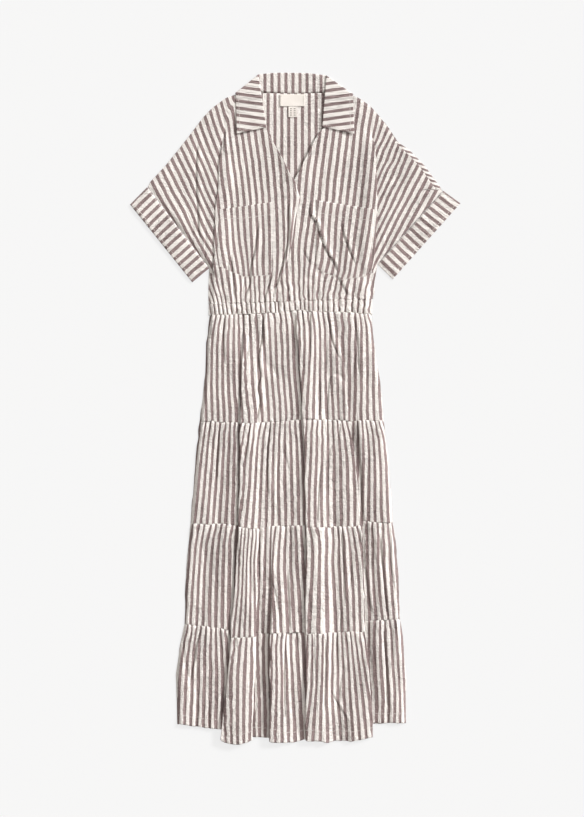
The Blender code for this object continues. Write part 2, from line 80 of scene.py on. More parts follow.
# Folds
FOLD_LEAD = 6.0  # cloth on each side of the edge that belongs to the fold
FOLD_STEPS = 4, 5, 3, 7  # columns of the lead, the lower turn, the tuck and the upper turn
SHARP_TUCK = 4.0  # a fold with less tuck than this is partly open
REST = 3.0  # level cloth past the tuck, before it falls
SKIRT_RAMP = 46.0  # how far a skirt fold's upper cloth takes to fall
FOLD_GROWTH = 0.42  # of the rise, each tier down
HEM_LOSS, HEM_REACH = 0.5, 0.3  # of the rise, over the last share of the last tier
SUNK_AIR = 0.3  # under the lower cloth beside a fold
SINK_REACH, SINK_GROWTH = 14.0, 8.0  # how far from the edge it lies low, and more each tier down
PRESSED_REACH = 16.0  # how far from the edge a fold presses the relief flat
BANK_START = 2.0  # from the edge to where the lower cloth rises again
ARM_FOLD, ARM_RAMP = 1.9, 24.0  # rise of the body's fold over the sleeve, and how far it takes to fall
ARM_BANK = 1.4, 5.0, 34.0  # rise, face and ramp of the sleeve's bank beside it

# Relief that pieces share
STRIPE_EDGE = 0.17  # how sharply the pale cloth puffs up beside a brown stripe
PUCKER = 0.055  # of a pitch, by which gathers narrow a brown stripe
WANDER = 0.03, 0.02  # of every stripe, in pitches
PINCH_RIDGE, PINCH_VALLEY = 0.6, 1.8
PINCH_WIDTH, PINCH_SIDE, PINCH_SIDE_WIDTH = 0.1, 0.22, 0.14  # of its valley and its ridge, in noise
VALLEY_WIDTH, VALLEY_DEPTH, RIDGE_RISE = 2.1, 1.9, 1.0  # of every crease in the tables
LONGEST_TAPER, TAPER_SHARE = 30.0, 0.4  # of a crease's two ends
SLOPE_WINDOW = 31  # columns over which crowded stripes even out

# Skirt
TIERS = 4
TIER_ROWS = 88
BACK_TIER_ROWS, BACK_TIER_COLUMNS = 40, 72
LEAST_COLUMNS, STRETCH_SPACING = 12, 1.35  # of the cloth between two folds
PARTING_FOLDS = {  # folds whose two sides have stripes of their own
    1: ("centre",),
    2: ("side_left", "centre", "side_right"),
    3: ("side_left", "crumpled", "short", "centre", "side_right"),
    4: ("side_left", "crumpled", "short", "centre", "side_right"),
}
NARROW_PITCH = 11.5  # between stripes where one guide is alone between two folds
SKIRT_INSET = 0.6
SEAM_LAP = 1.2  # how far a piece reaches under the one above it
SEAM_STEP, SEAM_STEP_REACH = 0.3, 1.5  # a seam's edge dips under the piece above
PAINTED_SHADE_GROWTH = 0.14  # painted shade: how much narrower the pale stripes get, so the cloth is darker, each tier down
SUNK_PAINTED_SHADE = 1.0  # and more where the cloth is sunk beside a fold, painted shade where the fold's shadow falls
GATHER_REACH = 32  # of the closed-up stripes under a seam
TIER_GATHER, TIER_FOOT_GATHER = (1.1, 26), (0.7, 12)  # height and reach, under a seam and over the next
TIER_PUFF, PUFF_START = (1.5, 50), 2.5  # height and reach of the puff under a seam, and where it starts
FOOT_DIP = 0.6, 2.5  # height and reach of the dip over a seam
WAVE_START = 50  # how far under a seam the broad waves start
# Height, and more each tier down, of medium and broad waves, of the pale stripes and of the crinkle
TIER_WAVES = (1.2, 0.3), (0.5, 0.5), (0.08, 0.07), (0.16, 0.07)
CRUMPLE_RISE, CRUMPLE_SHIFT = 0.9, 0.12
CRUMPLE_PLACE, CRUMPLE_REACH = 5, 9  # how far right of a fold's edge it is most, and how far it goes
SIDE_CALM = 8  # how far from the skirt's sides its relief starts
SKIRT_SIDES = (  # down | left edge | right edge
    (0.0, -172, 152), (0.25, -178, 157), (0.55, -179, 167), (1.0, -191, 177), (1.25, -197, 183),
    (1.5, -201, 189), (2.0, -210, 195), (2.3, -215, 203), (2.6, -220, 207), (3.0, -222, 210),
    (3.25, -232, 217), (3.5, -239, 221), (4.0, -237, 222),
)
FOLD_DOWN = (0.0, 0.3, 1.0, 2.0, 3.0, 4.0)
# Folds: name | over | edge, then tuck at FOLD_DOWN | rise | rise, face and ramp of its bank | crumple
SKIRT_FOLDS = (
    ("side_left", 1, (-102, -105, -107.5, -111, -127, -146), (0, 3, 8, 10, 14, 18), 2.8, (4.4, 7, 60), 1.0),
    ("crumpled", -1, (-72, -70, -68, -66, -78, -87), (0, 0, 0, 0, 4, 13), 1.5, (0, 8, 34), 0.8),
    ("short", 1, (-36, -40, -44, -47, -49, -49), (0, 0, 0, 0, 3, 14), 2.6, (0, 8, 34), 0.8),
    ("centre", 1, (-1, 6, 17, 24, 22, 22.5), (0, 5, 8, 12, 16, 20), 3.2, (3.6, 3, 34), 0.5),
    ("side_right", -1, (66, 90, 108, 131, 138, 155), (0, 3, 9, 14, 22, 30), 1.7, (1.8, 24, 70), 0.5),
)
SKIRT_PANELS = (  # waist seam | seam 1 | seam 2 | seam 3 | hem, as left, right | sag of the hem
    ((185, 188), (-26, -31), (-230, -234), (-432, -442), (-630, -641), 0),
    ((188, 189), (-31, -30), (-238, -241), (-457, -457), (-664, -662), -7.5),
    ((189, 190), (-30, -28), (-241, -237), (-449, -449), (-656, -658), 0),
    ((190, 195), (-28, -23), (-236, -234), (-449, -448), (-664, -661), -6),
    ((195, 192), (-23, -25), (-239, -236), (-451, -446), (-663, -656), -6),
    ((192, 187), (-25, -26), (-226, -230), (-425, -423), (-628, -630), 0),
)
BACK_HEM_SAG = -26

# Guide stripes of each tier's front: heights, then for each guide its number and x at each height
TIER_STRIPES = {
    1: (
        (190, 172, 126, 86, 36, -8, -26),
        (0, -166, -171, -177, -178, -179, -178, -178),
        (4, -130, -132, -134, -134, -133, -130, -130),
        (7, -105, -104, -101, -100, -98, -93, -92),
        (10, -66, -64, -62, -60, -56, -53, -53),
        (14, -20, -18, -15, -14, -10, -7, -7),
        (18, 24, 27, 29, 28, 25, 23, 23),
        (22, 65, 68, 70, 71, 73, 76, 77),
        (26, 120, 121, 120, 120, 120, 118, 118),
        (29, 144, 150, 155, 156, 156, 157, 158),
    ),
    2: (
        (-30, -56, -94, -154, -214, -238),
        (0, -180, -183, -187, -193, -199, -202),
        (4, -139, -142, -144, -147, -151, -152),
        (7, -112, -111, -111, -111, -112, -112),
        (10, -70, -73, -77, -80, -84, -86),
        (14, -30, -32, -33, -34, -32, -32),
        (17, 0, 2, 4, 6, 7, 7),
        (18, 10, 12, 14, 17, 18, 19),
        (19, 33, 32, 31, 28, 27, 27),
        (22, 64, 65, 65, 64, 65, 66),
        (24, 84, 87, 90, 91, 92, 92),
        (26, 124, 125, 125, 123, 120, 119),
        (30, 159, 165, 169, 171, 172, 173),
    ),
    3: (
        (-240, -268, -304, -364, -420, -450),
        (0, -206, -210, -212, -217, -221, -223),
        (3, -170, -176, -180, -183, -184, -185),
        (7, -127, -130, -131, -132, -133, -133),
        (10, -100, -102, -104, -106, -110, -112),
        (13, -78, -79, -82, -81, -80, -80),
        (15, -59, -60, -61, -62, -64, -65),
        (18, -30, -32, -34, -32, -29, -28),
        (21, 1, 2, 3, 7, 10, 11),
        (25, 45, 48, 48, 47, 46, 46),
        (27, 75, 76, 75, 78, 81, 82),
        (30, 104, 108, 111, 115, 117, 118),
        (32, 132, 132, 134, 135, 136, 136),
        (35, 165, 166, 165, 168, 174, 177),
        (38, 195, 198, 201, 205, 208, 209),
    ),
    4: (
        (-450, -484, -524, -574, -624, -662),
        (0, -218, -224, -229, -232, -234, -235),
        (3, -189, -192, -193, -194, -196, -197),
        (7, -149, -147, -145, -145, -146, -146),
        (10, -108, -111, -114, -115, -115, -115),
        (12, -87, -87, -87, -89, -90, -91),
        (13, -64, -64, -63, -61, -60, -60),
        (15, -37, -38, -37, -38, -39, -40),
        (18, -8, -9, -7, -5, -2, 0),
        (19, 3, 4, 6, 9, 12, 14),
        (23, 44, 44, 43, 41, 37, 35),
        (26, 75, 74, 74, 73, 77, 79),
        (29, 101, 104, 107, 109, 113, 115),
        (31, 119, 123, 128, 134, 139, 142),
        (33, 158, 158, 159, 163, 162, 161),
        (36, 191, 193, 196, 199, 198, 197),
        (38, 212, 214, 216, 218, 220, 221),
    ),
}

# Creases: path of (height, x) points | height | ridge's width | lean to the left
SKIRT_CREASES = {
    1: (
        (((186, -64), (150, -64), (118, -69), (92, -71), (66, -67), (42, -73), (16, -69),
          (-24, -77)), 2.4, 4.0, 3.0),
        (((196, 62), (168, 68), (136, 74), (104, 86)), 1.6, 4.0, 2.2),
        (((190, 30), (160, 31), (104, 30)), 1.8, 3.5, 2.6),
        (((184, -140), (150, -143), (90, -141)), 1.4, 5.0, 1.5),
        (((180, 118), (140, 124), (70, 128)), 1.6, 5.0, 2.0),
        (((60, 48), (20, 50), (-20, 46)), 1.5, 4.5, 1.8),
    ),
    2: (
        (((-32, 125), (-90, 129), (-150, 132), (-222, 134)), 2.4, 4.0, 3.4),
        (((-34, -150), (-80, -154), (-140, -158)), 1.6, 5.0, 1.8),
        (((-40, -50), (-90, -55), (-170, -54)), 1.8, 5.0, 2.0),
        (((-120, 50), (-170, 47), (-228, 44)), 1.6, 4.5, 2.0),
    ),
    3: (
        (((-244, -68), (-300, -72), (-350, -70)), 2.0, 4.0, 2.6),
        (((-246, 92), (-300, 96), (-380, 98)), 1.8, 5.0, 2.0),
        (((-246, 128), (-303, 137), (-333, 141), (-403, 152)), 2.2, 4.0, 2.2),
        (((-260, 170), (-330, 176), (-410, 184)), 1.8, 5.0, 2.2),
        (((-330, -16), (-390, -12), (-440, -10)), 1.6, 4.5, 1.8),
    ),
    4: (
        (((-440, -189), (-470, -196), (-510, -203), (-540, -208)), 1.6, 3.0, 1.2),
        (((-460, -20), (-530, -22), (-620, -20)), 1.6, 5.0, 1.8),
        (((-460, 60), (-530, 60), (-600, 58)), 1.8, 4.5, 2.2),
        (((-440, 176), (-500, 182), (-590, 184)), 2.0, 5.0, 2.4),
        (((-566, 73), (-584, 82), (-602, 93), (-620, 104)), 1.2, 3.0, 1.8),
    ),
}

# Waist
CASING_ROWS, CASING_BACK, CASING_FRONT, CASING_TURN = 15, 120, 260, 5
CASING_TOP = ((-172, 208), (152, 218))
CASING_FOOT = (185, 187)  # of its back, at the left and the right
CASING_Z = FRONT_Z + 0.7
CASING_AIR, CASING_PUFF, CASING_PALE = 0.8 * AIR, 1.2, 1.7
CASING_CALM = 12  # how far from its ends the casing's relief starts
CASING_PUCKER = 1.3
CASING_LEAN = ((-172, -0.13), (62, 0.0), (152, 0.12))  # of its stripes: x | inwards for each mm down

# Bodice: height | x of the edge, from the shoulder's neck end to the casing
BODICE_TOP, BODICE_FOOT = 628, 213
SLANT_START = 250  # below this height the rows bend to the casing's slanted top
OUTER_EDGE = {
    -1: (
        (629, -114), (620, -140), (600, -167), (580, -186), (548, -210), (516, -235), (484, -261),
        (453, -290), (442, -295.5), (280, -172.5), (245, -174), (205, -174),
    ),
    1: (
        (629, 105), (620, 128), (604, 151), (588, 165), (564, 185), (532, 206), (516, 229), (484, 260),
        (434.5, 295.5), (288, 164.5), (245, 158), (229, 159), (205, 154),
    ),
}
ARMHOLE = {  # height | visible edge | tuck
    -1: (
        (629, -104, 0), (600, -130, 0), (552, -140, 0), (530, -145, 4), (498, -150, 7), (436, -154, 11),
        (380, -159, 14), (332, -161, 16), (310, -161, 13), (288, -162, 8), (262, -164, 0), (205, -165, 0),
    ),
    1: (
        (629, 102, 0), (600, 128, 0), (552, 152, 0), (530, 156, 4), (506, 158, 7), (454, 163, 11),
        (380, 162, 14), (332, 159, 16), (305, 157, 12), (286, 154, 6), (268, 150, 0), (205, 146, 0),
    ),
}
FRONT_EDGE = {
    -1: (
        (629, -93), (562.5, -65), (556.5, -57.5), (526, -41), (502, -27), (484, -18), (464, -8), (454, -1),
        (435, 5), (416, 10), (392, 3), (360, -3), (330, -7), (304, -13), (280, -21), (256, -29), (236, -37),
        (205, -39),
    ),
    1: (
        (629, 90), (562.5, 61), (556.5, 53), (536, 39), (512, 27), (495, 18), (480, 11), (464, 2),
        (440, -12), (400, -30), (340, -50), (280, -65), (205, -75),
    ),
}
LAP_START, LAP_FADE, LAP_FOOT = 484, 12, -39
LAP_REACH, LAP_RAMP = 26, 20
LAP_RISE = LAYER + 0.5
UNDER_Z = FRONT_Z - 0.2  # of the lower front under the lap
UNDER_START, UNDER_RUN = 3, 8  # from the upper front's edge inwards
AIR_TOP, AIR_RUN = 430, 80  # where the air under a front grows
EDGE_STAND, EDGE_REACH = 4.0, 14  # of the front edges, where they cross the chest
STAND_FOOT, STAND_RUN, STAND_TOP, STAND_FADE = 430, 40, 590, 80
NECK_LIFT = LAYER + 0.1
NECK_LIFT_FOOT, NECK_LIFT_RUN = 560, 38
NECK_LIFT_SIDE, NECK_LIFT_FADE = 165, 45
UNDERARM = 270  # below this height sleeve and body are one cloth
FRONT_INSET, BACK_INSET = 0.9, 0.3
STRIP_WIDTH, STRIP_TOP, STRIP_FOOT = 11.0, 545, 437  # of the back, which shows along one sleeve's top
STRIP_COLUMNS, STRIP_TILT, STRIP_PITCH = 5, math.radians(14), 8.9
STRIP_FADE = 30
SEAM_DIP, SEAM_WIDTH = 0.6, 1.6  # of the sleeve's seam below the strip
FRONT_CALM = 12  # how far from a front's outer edge its relief starts
EDGE_SHARE, EDGE_CALM = 0.35, 10  # share of the relief that is left at the front edge
FRONT_ROWS, SLEEVE_COLUMNS, BODY_COLUMNS = 180, 46, 78
BACK_ROWS, BACK_COLUMNS = 84, 96
WAIST_GATHER, WAIST_CRUMPLE, WAIST_WAVE = (1.3, 24), (1.1, 30), (1.8, 60)  # height and reach up
WAIST_REACH = 35  # of the closed-up stripes over the casing
BODY_WAVE, BODY_CRINKLE, BODY_PALE = 0.9, 0.25, 0.1
PINCHES_TOP, PINCHES_RUN = 400, 120
BACK_MIDDLE, BACK_PITCH = -13.1, 13.7  # of its stripes
BACK_ARM = 130  # past this x they spread along the sleeves
BACK_CREASE = (((590, -10), (540, -6), (460, -2)), 0.4, 4.0, 0.0)

# Guide stripes: number | (height, x) down the stripe
BODY_STRIPES = {
    -1: (
        (-6, ((272, -169), (248, -165), (224, -158), (206, -154))),
        (-4, ((344, -160), (320, -157), (296, -153), (272, -149), (248, -146), (224, -141), (206, -138))),
        (-2, ((536, -150), (456, -146), (416, -140), (368, -135), (320, -132), (272, -123), (224, -118),
              (206, -118))),
        (0, ((536, -130), (496, -125), (456, -119), (416, -115), (332, -109), (296, -103), (248, -99),
             (206, -98))),
        (3, ((536, -92), (496, -86), (456, -81), (416, -77), (332, -73), (296, -75), (248, -72),
             (206, -71))),
        (5, ((536, -64), (496, -59), (456, -55), (416, -52), (332, -49), (272, -48), (248, -51),
             (206, -51))),
        (7, ((536, -37), (496, -31), (456, -28), (416, -25), (332, -22), (272, -25), (248, -28),
             (206, -32))),
        (9, ((496, -10), (456, -3), (416, -1), (392, -4), (344, -8), (296, -13), (206, -20))),
    ),
    1: (
        (-1, ((496, 27.5), (456, 22.5), (416, 19.5), (392, 18))),
        (0, ((536, 47), (496, 41.5), (456, 36.5), (416, 33), (392, 31.5), (368, 30))),
        (2, ((536, 75), (496, 70), (456, 65), (416, 62), (392, 58.5), (368, 57), (344, 56))),
        (4, ((610, 113), (536, 103.5), (456, 94), (416, 89.5), (368, 84), (320, 81.5), (272, 77),
             (206, 63))),
        (6, ((610, 141), (558, 133), (496, 127), (416, 117.5), (368, 111), (320, 106), (272, 99.5),
             (206, 86))),
        (8, ((587, 166), (536, 158), (456, 150), (368, 139.5), (320, 131), (272, 122), (206, 113))),
        (10, ((344, 160), (320, 157), (296, 153), (272, 148), (248, 143), (206, 136))),
    ),
}
# Of the right side, left of its main crease and down to the casing
LOW_STRIPES = (
    (-3, ((320, -18), (272, -17), (224, -13), (206, -12))),
    (-1, ((416, 19.5), (368, 13.5), (320, 7), (272, 8), (248, 7.5), (206, 10))),
    (2, ((368, 52), (344, 48.5), (320, 45.5), (296, 41.5), (272, 37), (206, 35))),
    (4, ((320, 70), (296, 70), (272, 64), (248, 57.5), (206, 54))),
    (5, ((320, 83), (296, 80), (272, 77), (248, 70), (206, 63))),
    (7, ((320, 106), (272, 99.5), (248, 92), (206, 86))),
    (9, ((320, 131), (272, 122), (248, 117.5), (206, 113))),
    (11, ((320, 157), (272, 148), (248, 143), (206, 136))),
)
SLEEVE_STRIPES = {
    -1: (
        (-15, ((436, -294), (416, -283), (396, -270), (376, -259))),
        (-13, ((456, -272), (416, -252), (376, -229), (336, -208), (296, -188))),
        (-11, ((476, -251), (436, -231), (396, -209), (356, -194), (316, -170))),
        (-9, ((496, -231), (456, -211), (416, -194), (376, -176), (336, -156))),
        (-7, ((516, -211), (476, -193), (436, -178), (396, -158))),
        (-5, ((556, -200), (516, -185), (476, -168), (436, -152))),
        (-3, ((576, -178), (556, -172), (516, -157), (496, -149))),
        (-1, ((596, -157), (576, -151), (556, -144), (536, -137))),
    ),
    1: (
        (6, ((610, 141), (558, 133), (536, 129), (516, 123))),
        (7, ((599, 154), (558, 147), (536, 143.5), (516, 135))),
        (8, ((587, 166), (549, 157), (536, 153), (516, 144))),
        (9, ((596, 181), (576, 175), (556, 169), (536, 162), (516, 153))),
        (11, ((536, 187), (516, 177), (496, 170), (476, 162))),
        (13, ((516, 203), (496, 196), (476, 184), (456, 176), (436, 167))),
        (15, ((496, 219), (456, 203), (436, 192), (416, 183), (396, 175), (376, 165))),
        (17, ((476, 240), (456, 229), (416, 210), (376, 189), (336, 170))),
        (19, ((456, 261), (436, 250), (396, 228), (356, 207), (316, 186))),
        (21, ((436, 282), (416, 271), (396, 260), (376, 248))),
    ),
}
BODICE_CREASES = {
    -1: (
        (((404, -14), (372, -12), (336, -13), (310, -18.5), (276, -28), (254, -34),
          (230, -42)), 4.8, 2.6, 1.6),
        (((366, -74), (340, -77), (316, -79.5), (276, -88.5), (246, -90.5), (222, -102)), 2.0, 4.0, 2.8),
        (((268, -44), (244, -53), (212, -62)), 2.0, 4.0, 2.6),
        (((524, -195), (480, -197), (436, -196.5), (390, -194), (346, -192)), 1.8, 5.0, 2.6),
        (((552, -141), (530, -143), (512, -145)), 1.4, 4.0, 1.6),
        (((300, -128), (260, -124), (216, -122)), 1.4, 5.0, 1.6),
    ),
    1: (
        (((408, 29), (384, 32), (372, 42), (352, 48), (334, 54), (316, 62), (300, 72),
          (288, 80), (278, 82)), 2.8, 4.0, 4.2),
        (((346, 56), (334, 58), (322, 60)), 1.4, 3.0, 2.0),
        (((320, 14), (304, 22), (288, 31)), 1.4, 3.0, 2.0),
        (((366, 92), (340, 99), (318, 107), (290, 119)), 1.6, 4.5, 2.0),
        (((260, 86), (246, 94), (226, 106)), 1.6, 4.0, 2.4),
        (((250, 28), (230, 26), (212, 24)), 1.6, 4.0, 2.0),
        (((252, -16), (232, -13), (212, -12)), 1.4, 4.0, 2.0),
    ),
}

# Patch pockets: inner x | outer gap | top inner, outer | bottom inner, middle, outer
POCKETS = {
    "pocket_right": (-46, 6.0, 412, 397, 264, 260, 284),
    "pocket_left": (41, 5.0, 416, 397, 276, 254, 262),
}
POCKET_GRID = 60
POCKET_STRIPES = 0.2  # how far its stripes are off the front's, in pitches
POCKET_LIFT, POCKET_EDGE = 0.7, 7  # how high it lies over the front, and how far its edge takes to rise
POCKET_HEM, HEM_RIDGE, HEM_GROOVE = 23, 0.5, 0.3
POCKET_DIP, POCKET_DIP_REACH = 0.35, 6

# Cuffs: seam top | seam bottom | edge top | edge bottom
CUFFS = {
    "cuff_right": ((-295.5, 442), (-172.5, 280), (-330, 407), (-206, 252)),
    "cuff_left": ((295.5, 434.5), (164.5, 288), (330, 409.5), (195, 258)),
}
CUFF_ROWS, CUFF_COLUMNS, CUFF_TURN = 24, 90, 7
CUFF_Z = FRONT_Z + 0.8
CUFF_GAP = 0.3  # between the cuff and its sleeve
CUFF_AIR, CUFF_PUFF = 0.6 * CHEST_AIR, 0.9
CUFF_END = 14  # how far the ends take to rise
CUFF_PITCH = PITCH + 0.3

# Collar: end | tip | shoulder | corner | neck, as plan points of each side
COLLAR_SIDES = {
    -1: ((-58, 561), (-117, 548), (-119, 627), (-74, 666), (-91, 632)),
    1: ((54, 562), (118, 548), (115, 625), (62, 664), (87, 631)),
}
COLLAR_NECK, COLLAR_TOP, COLLAR_OUTER = (-5, 629), (-5, 670.0), (-5, 606)  # at the middle of the back
STAND_COLUMNS, ROLL_COLUMNS, FALL_COLUMNS = 14, 12, 34
WING_SECTIONS, TURN_SECTIONS, BACK_SECTIONS = 64, 9, 39
NECK_LAP, LAP_TOP, LAP_SIDE = 1.6, 618, 100  # how far the back reaches under the collar, and where
NECK_DIP = 1.8  # of the stand's lower edge, where it is sewn to the back
NECK_INSET = 0.05  # share of the end's edge that the neck's line leaves free
WING_ROLL, TURN_ROLL, BACK_ROLL = 1.4, 3.0, 1.9
STAND_Z = FRONT_Z + 0.7
STAND_TOP_Z = STAND_Z + NECK_LIFT
FALL_GAP = LAYER + 0.5  # from the stand to the fall's edge
WING_LIFT = 1.4  # of a wing's end
STAND_DROP = 0.4
STEP_IN, STEP_UP = 2.0, 1.2  # the fold moves inwards and up as the collar turns over the shoulder
CROWN = 1.5  # rise of the middle of the back's fold
WING_TILT = math.radians(8)
WING_STRIPES = (535.6, 534.6)  # where a stripe lies, up the left and the right wing
BACK_STRIPE = -4.5
WING_PITCH = 14.0

# Labels: middle | top | width | length
LABELS = {"label": (-5.5, 627.2, 50, 24), "size_label": (-5, 602.6, 17, 21)}
LABEL_ROWS, LABEL_COLUMNS = 24, 40
LABEL_RISE, LABEL_CURL, LABEL_WAVE = 1.6, 0.5, 0.25
MARK_LENGTH, MARK_WIDTH = 3.6, 1.5  # of the dashes on the size tab
MARK_COLUMNS, MARK_ROWS = (-0.22, 0.22), np.linspace(0.2, 0.8, 4)  # shares of its width and length

STITCH, STITCH_STEP, THREAD = 2.4, 3.4, 0.75  # length, from one to the next, width
POCKET_LINES = (("row", 0.165, 0.0, 1.0), ("row", 0.975, 0.0, 1.0), ("column", 0.975, 0.0, 0.97))
CUFF_LINES = (("row", 0.06, 0.51, 0.95), ("row", 0.86, 0.51, 0.95))
# Stitched lines: row or column of the piece's grid | share down or across | part of it, from, to
STITCH_LINES = {
    "tier_4_front": (("row", 0.905, 0.0, 1.0),),
    "pocket_right": POCKET_LINES,
    "pocket_left": POCKET_LINES,
    "waistband": (("row", 0.13, 0.32, 0.97), ("row", 0.90, 0.32, 0.97)),
    "cuff_right": CUFF_LINES,
    "cuff_left": CUFF_LINES,
    "collar": (
        ("column", 0.94, 0.012, 0.28), ("column", 0.94, 0.72, 0.988),
        ("row", 0.012, 0.47, 0.94), ("row", 0.988, 0.47, 0.94),
    ),
    "front_right": (("column", 0.982, 0.2, 0.93),),
    "front_left": (("column", 0.982, 0.2, 0.34),),
    "label": (("column", 0.05, 0.05, 0.95), ("column", 0.95, 0.05, 0.95)),
}

# Least jump of a stripe's number within a cell that is taken as a seam. Fine grids have small cells.
FINE_PIECES, FINE_JUMP, COARSE_JUMP = ("front_right", "front_left", *POCKETS), 0.8, 1.3

# A fold: x of its edge and its tuck, row by row, over: 1 if the left-hand cloth lies on top and -1 if the
# right-hand one does, rise of each layer, and hill: its bank. A side of the skirt is a fold with no hill
Fold = namedtuple("Fold", "edge tuck over rise hill crumple")
# Columns of a grid. cloth: from 0 on the left-hand or lower cloth to 1 on the other. flat: share of the
# relief that is kept, and raised: of the air below
Columns = namedtuple("Columns", "x rise cloth flat raised top bottom panel", defaults=4 * (None,))


# Curves
def smooth(value):
    value = np.clip(value, 0.0, 1.0)
    return value * value * (3 - 2 * value)


def mix(first, second, share):
    return np.asarray(first, float) * (1 - share) + np.asarray(second, float) * share


def bell(away, width):
    return np.exp(-((away / width) ** 2))


def fading(distance, height, reach):
    return height * np.exp(-distance / reach)


def shares_down(count):
    return np.linspace(0, 1, count)[:, None]


def at_height(table, height, column=1):
    """The table's column at these heights, read straight between its rows."""
    rows = sorted(table)
    return np.interp(height, [row[0] for row in rows], [row[column] for row in rows])


def curve(points, at):
    """A smooth curve through (place, value) points, straight beyond its ends."""
    places, values = np.array(sorted(points), float).T
    slopes = np.gradient(values, places)
    at = np.asarray(at, float)
    index = np.clip(np.searchsorted(places, at) - 1, 0, len(places) - 2)
    step = places[index + 1] - places[index]
    t = np.clip((at - places[index]) / step, 0, 1)
    start, rest = (1 + 2 * t) * (1 - t) ** 2, t * t * (3 - 2 * t)
    inside = start * values[index] + rest * values[index + 1]
    inside += step * (t * (1 - t) ** 2 * slopes[index] - t * t * (1 - t) * slopes[index + 1])
    beyond = np.minimum(at - places[0], 0) * slopes[0] + np.maximum(at - places[-1], 0) * slopes[-1]
    return inside + beyond


def ripples(across, along, spacing, length, seed):
    """Seeded smooth noise from -1 to 1, in cells spacing wide and length long."""
    side = 128
    lattice = np.random.default_rng(seed).uniform(-1, 1, (side, side))
    a, b = np.broadcast_arrays(np.asarray(across) / spacing, np.asarray(along) / length)
    i, j = np.floor(a).astype(int), np.floor(b).astype(int)
    s, t = smooth(a - i), smooth(b - j)
    here = lattice[i % side, j % side] * (1 - s) + lattice[(i + 1) % side, j % side] * s
    below = lattice[i % side, (j + 1) % side] * (1 - s) + lattice[(i + 1) % side, (j + 1) % side] * s
    return here * (1 - t) + below * t


# Stripes and creases
def stripe_number(guides, x, y):
    """Number of the stripe at each plan point, read between guide stripes that run from left to right."""
    numbers = [number for number, _ in guides]
    lines = [curve(points, y) for _, points in guides]
    for i in range(1, len(lines)):  # guides that run on past their ends never cross
        lines[i] = np.maximum(lines[i], lines[i - 1] + 1.0)
    result = numbers[0] + (x - lines[0]) / (lines[1] - lines[0]) * (numbers[1] - numbers[0])
    for i in range(1, len(lines) - 1):
        share = (x - lines[i]) / (lines[i + 1] - lines[i])
        result = np.where(x > lines[i], numbers[i] + share * (numbers[i + 1] - numbers[i]), result)
    return result


def wobble(x, y, seed):
    """Small sideways wander of every stripe."""
    return WANDER[0] * ripples(x, y, 8, 13, seed) + WANDER[1] * ripples(x, y, 5, 7, seed + 1)


def pucker(number, amount):
    """Narrower brown stripes, which sink between the pale ones where the cloth is gathered."""
    return number + PUCKER * amount * np.sin(2 * math.pi * number)


def puffs(number):
    """From -1 on a brown stripe to 1 on the puffed pale cloth between."""
    return 1 - 2 * bell(number - np.round(number), STRIPE_EDGE)


def crowded(x, relief):
    """Where cloth that lies at x would lie flat: slopes take more cloth than level parts."""
    step = np.diff(x, axis=1)
    extra = np.hypot(step, np.diff(relief, axis=1)) - np.abs(step)
    total = np.concatenate([np.zeros((len(x), 1)), np.cumsum(extra, axis=1)], axis=1)
    half = SLOPE_WINDOW // 2
    padded = np.pad(total, ((0, 0), (half, half)), mode="reflect", reflect_type="odd")
    sums = np.cumsum(np.pad(padded, ((0, 0), (1, 0))), axis=1)
    return x + total - (sums[:, SLOPE_WINDOW:] - sums[:, :-SLOPE_WINDOW]) / SLOPE_WINDOW


def press(x, y, creases):
    """(sideways shift, rise) that creases give plan points. Each is a narrow valley along its
    path, beside a ridge that leans over it."""
    shift, rise = np.zeros_like(x), np.zeros_like(x)
    for path, height, width, lean in creases:
        top, bottom = path[0][0], path[-1][0]
        taper = min(LONGEST_TAPER, (top - bottom) * TAPER_SHARE)
        past = taper * TAPER_SHARE
        fade = smooth((top + past - y) / taper) * smooth((y - bottom + past) / taper)
        away = x - curve(path, y)
        valley = bell(away, VALLEY_WIDTH) * fade
        ridge = bell(away - VALLEY_WIDTH - 0.6 * width, width) * fade
        shift -= 0.7 * lean * bell(away - 1.2 * VALLEY_WIDTH, 1.4 * VALLEY_WIDTH) * fade
        rise += height * (RIDGE_RISE * ridge - VALLEY_DEPTH * valley)
    return shift, rise


def pinches(x, y, spacing, length, seed):
    """(sideways shift, rise) of thin wandering creases, here and there, narrow and deep."""
    field = ripples(x, y, spacing, length, seed)
    where = smooth(2.2 * ripples(x, y, 1.6 * spacing, 0.6 * length, seed + 1) + 0.4)
    valley = bell(field, PINCH_WIDTH) * where
    ridge = bell(field - PINCH_SIDE, PINCH_SIDE_WIDTH) * where
    return -PINCH_RIDGE * ridge, PINCH_RIDGE * ridge - PINCH_VALLEY * valley


# Folds
def fold_shape():
    """Shares of the lead, the tuck and the turn's radius in each column's x, its height in radii, and how
    far it is from the lower cloth (0) to the upper (1)."""
    lead, turn, tuck, upper_turn = FOLD_STEPS
    columns = [(s - 1, s, 0, 0, 0) for s in np.linspace(0, 1, lead, endpoint=False)]
    for angle in np.linspace(-QUARTER, QUARTER, turn, endpoint=False):
        columns.append((0, 1, math.cos(angle), 1 + math.sin(angle), 0))
    columns += [(0, 1 - s, 0, 2, s) for s in np.linspace(0, 1, tuck, endpoint=False)]
    for angle in np.linspace(-QUARTER, QUARTER, upper_turn):
        columns.append((0, 0, -math.cos(angle), 3 + math.sin(angle), 1))
    return np.array(columns).T


FOLD_SHAPE = fold_shape()
FOLD_COLUMNS = FOLD_SHAPE.shape[1]


def sharpness_of(fold):
    """From 0 where a fold is open to 1 where its cloth is doubled."""
    return np.minimum(fold.tuck / SHARP_TUCK, 1.0)


def bank(away, rise, face, ramp):
    """Rise of the lower cloth at this distance from a fold's edge: a groove is left between them."""
    return rise * smooth((away - BANK_START) / face) * (1 - smooth((away - BANK_START - face) / ramp))


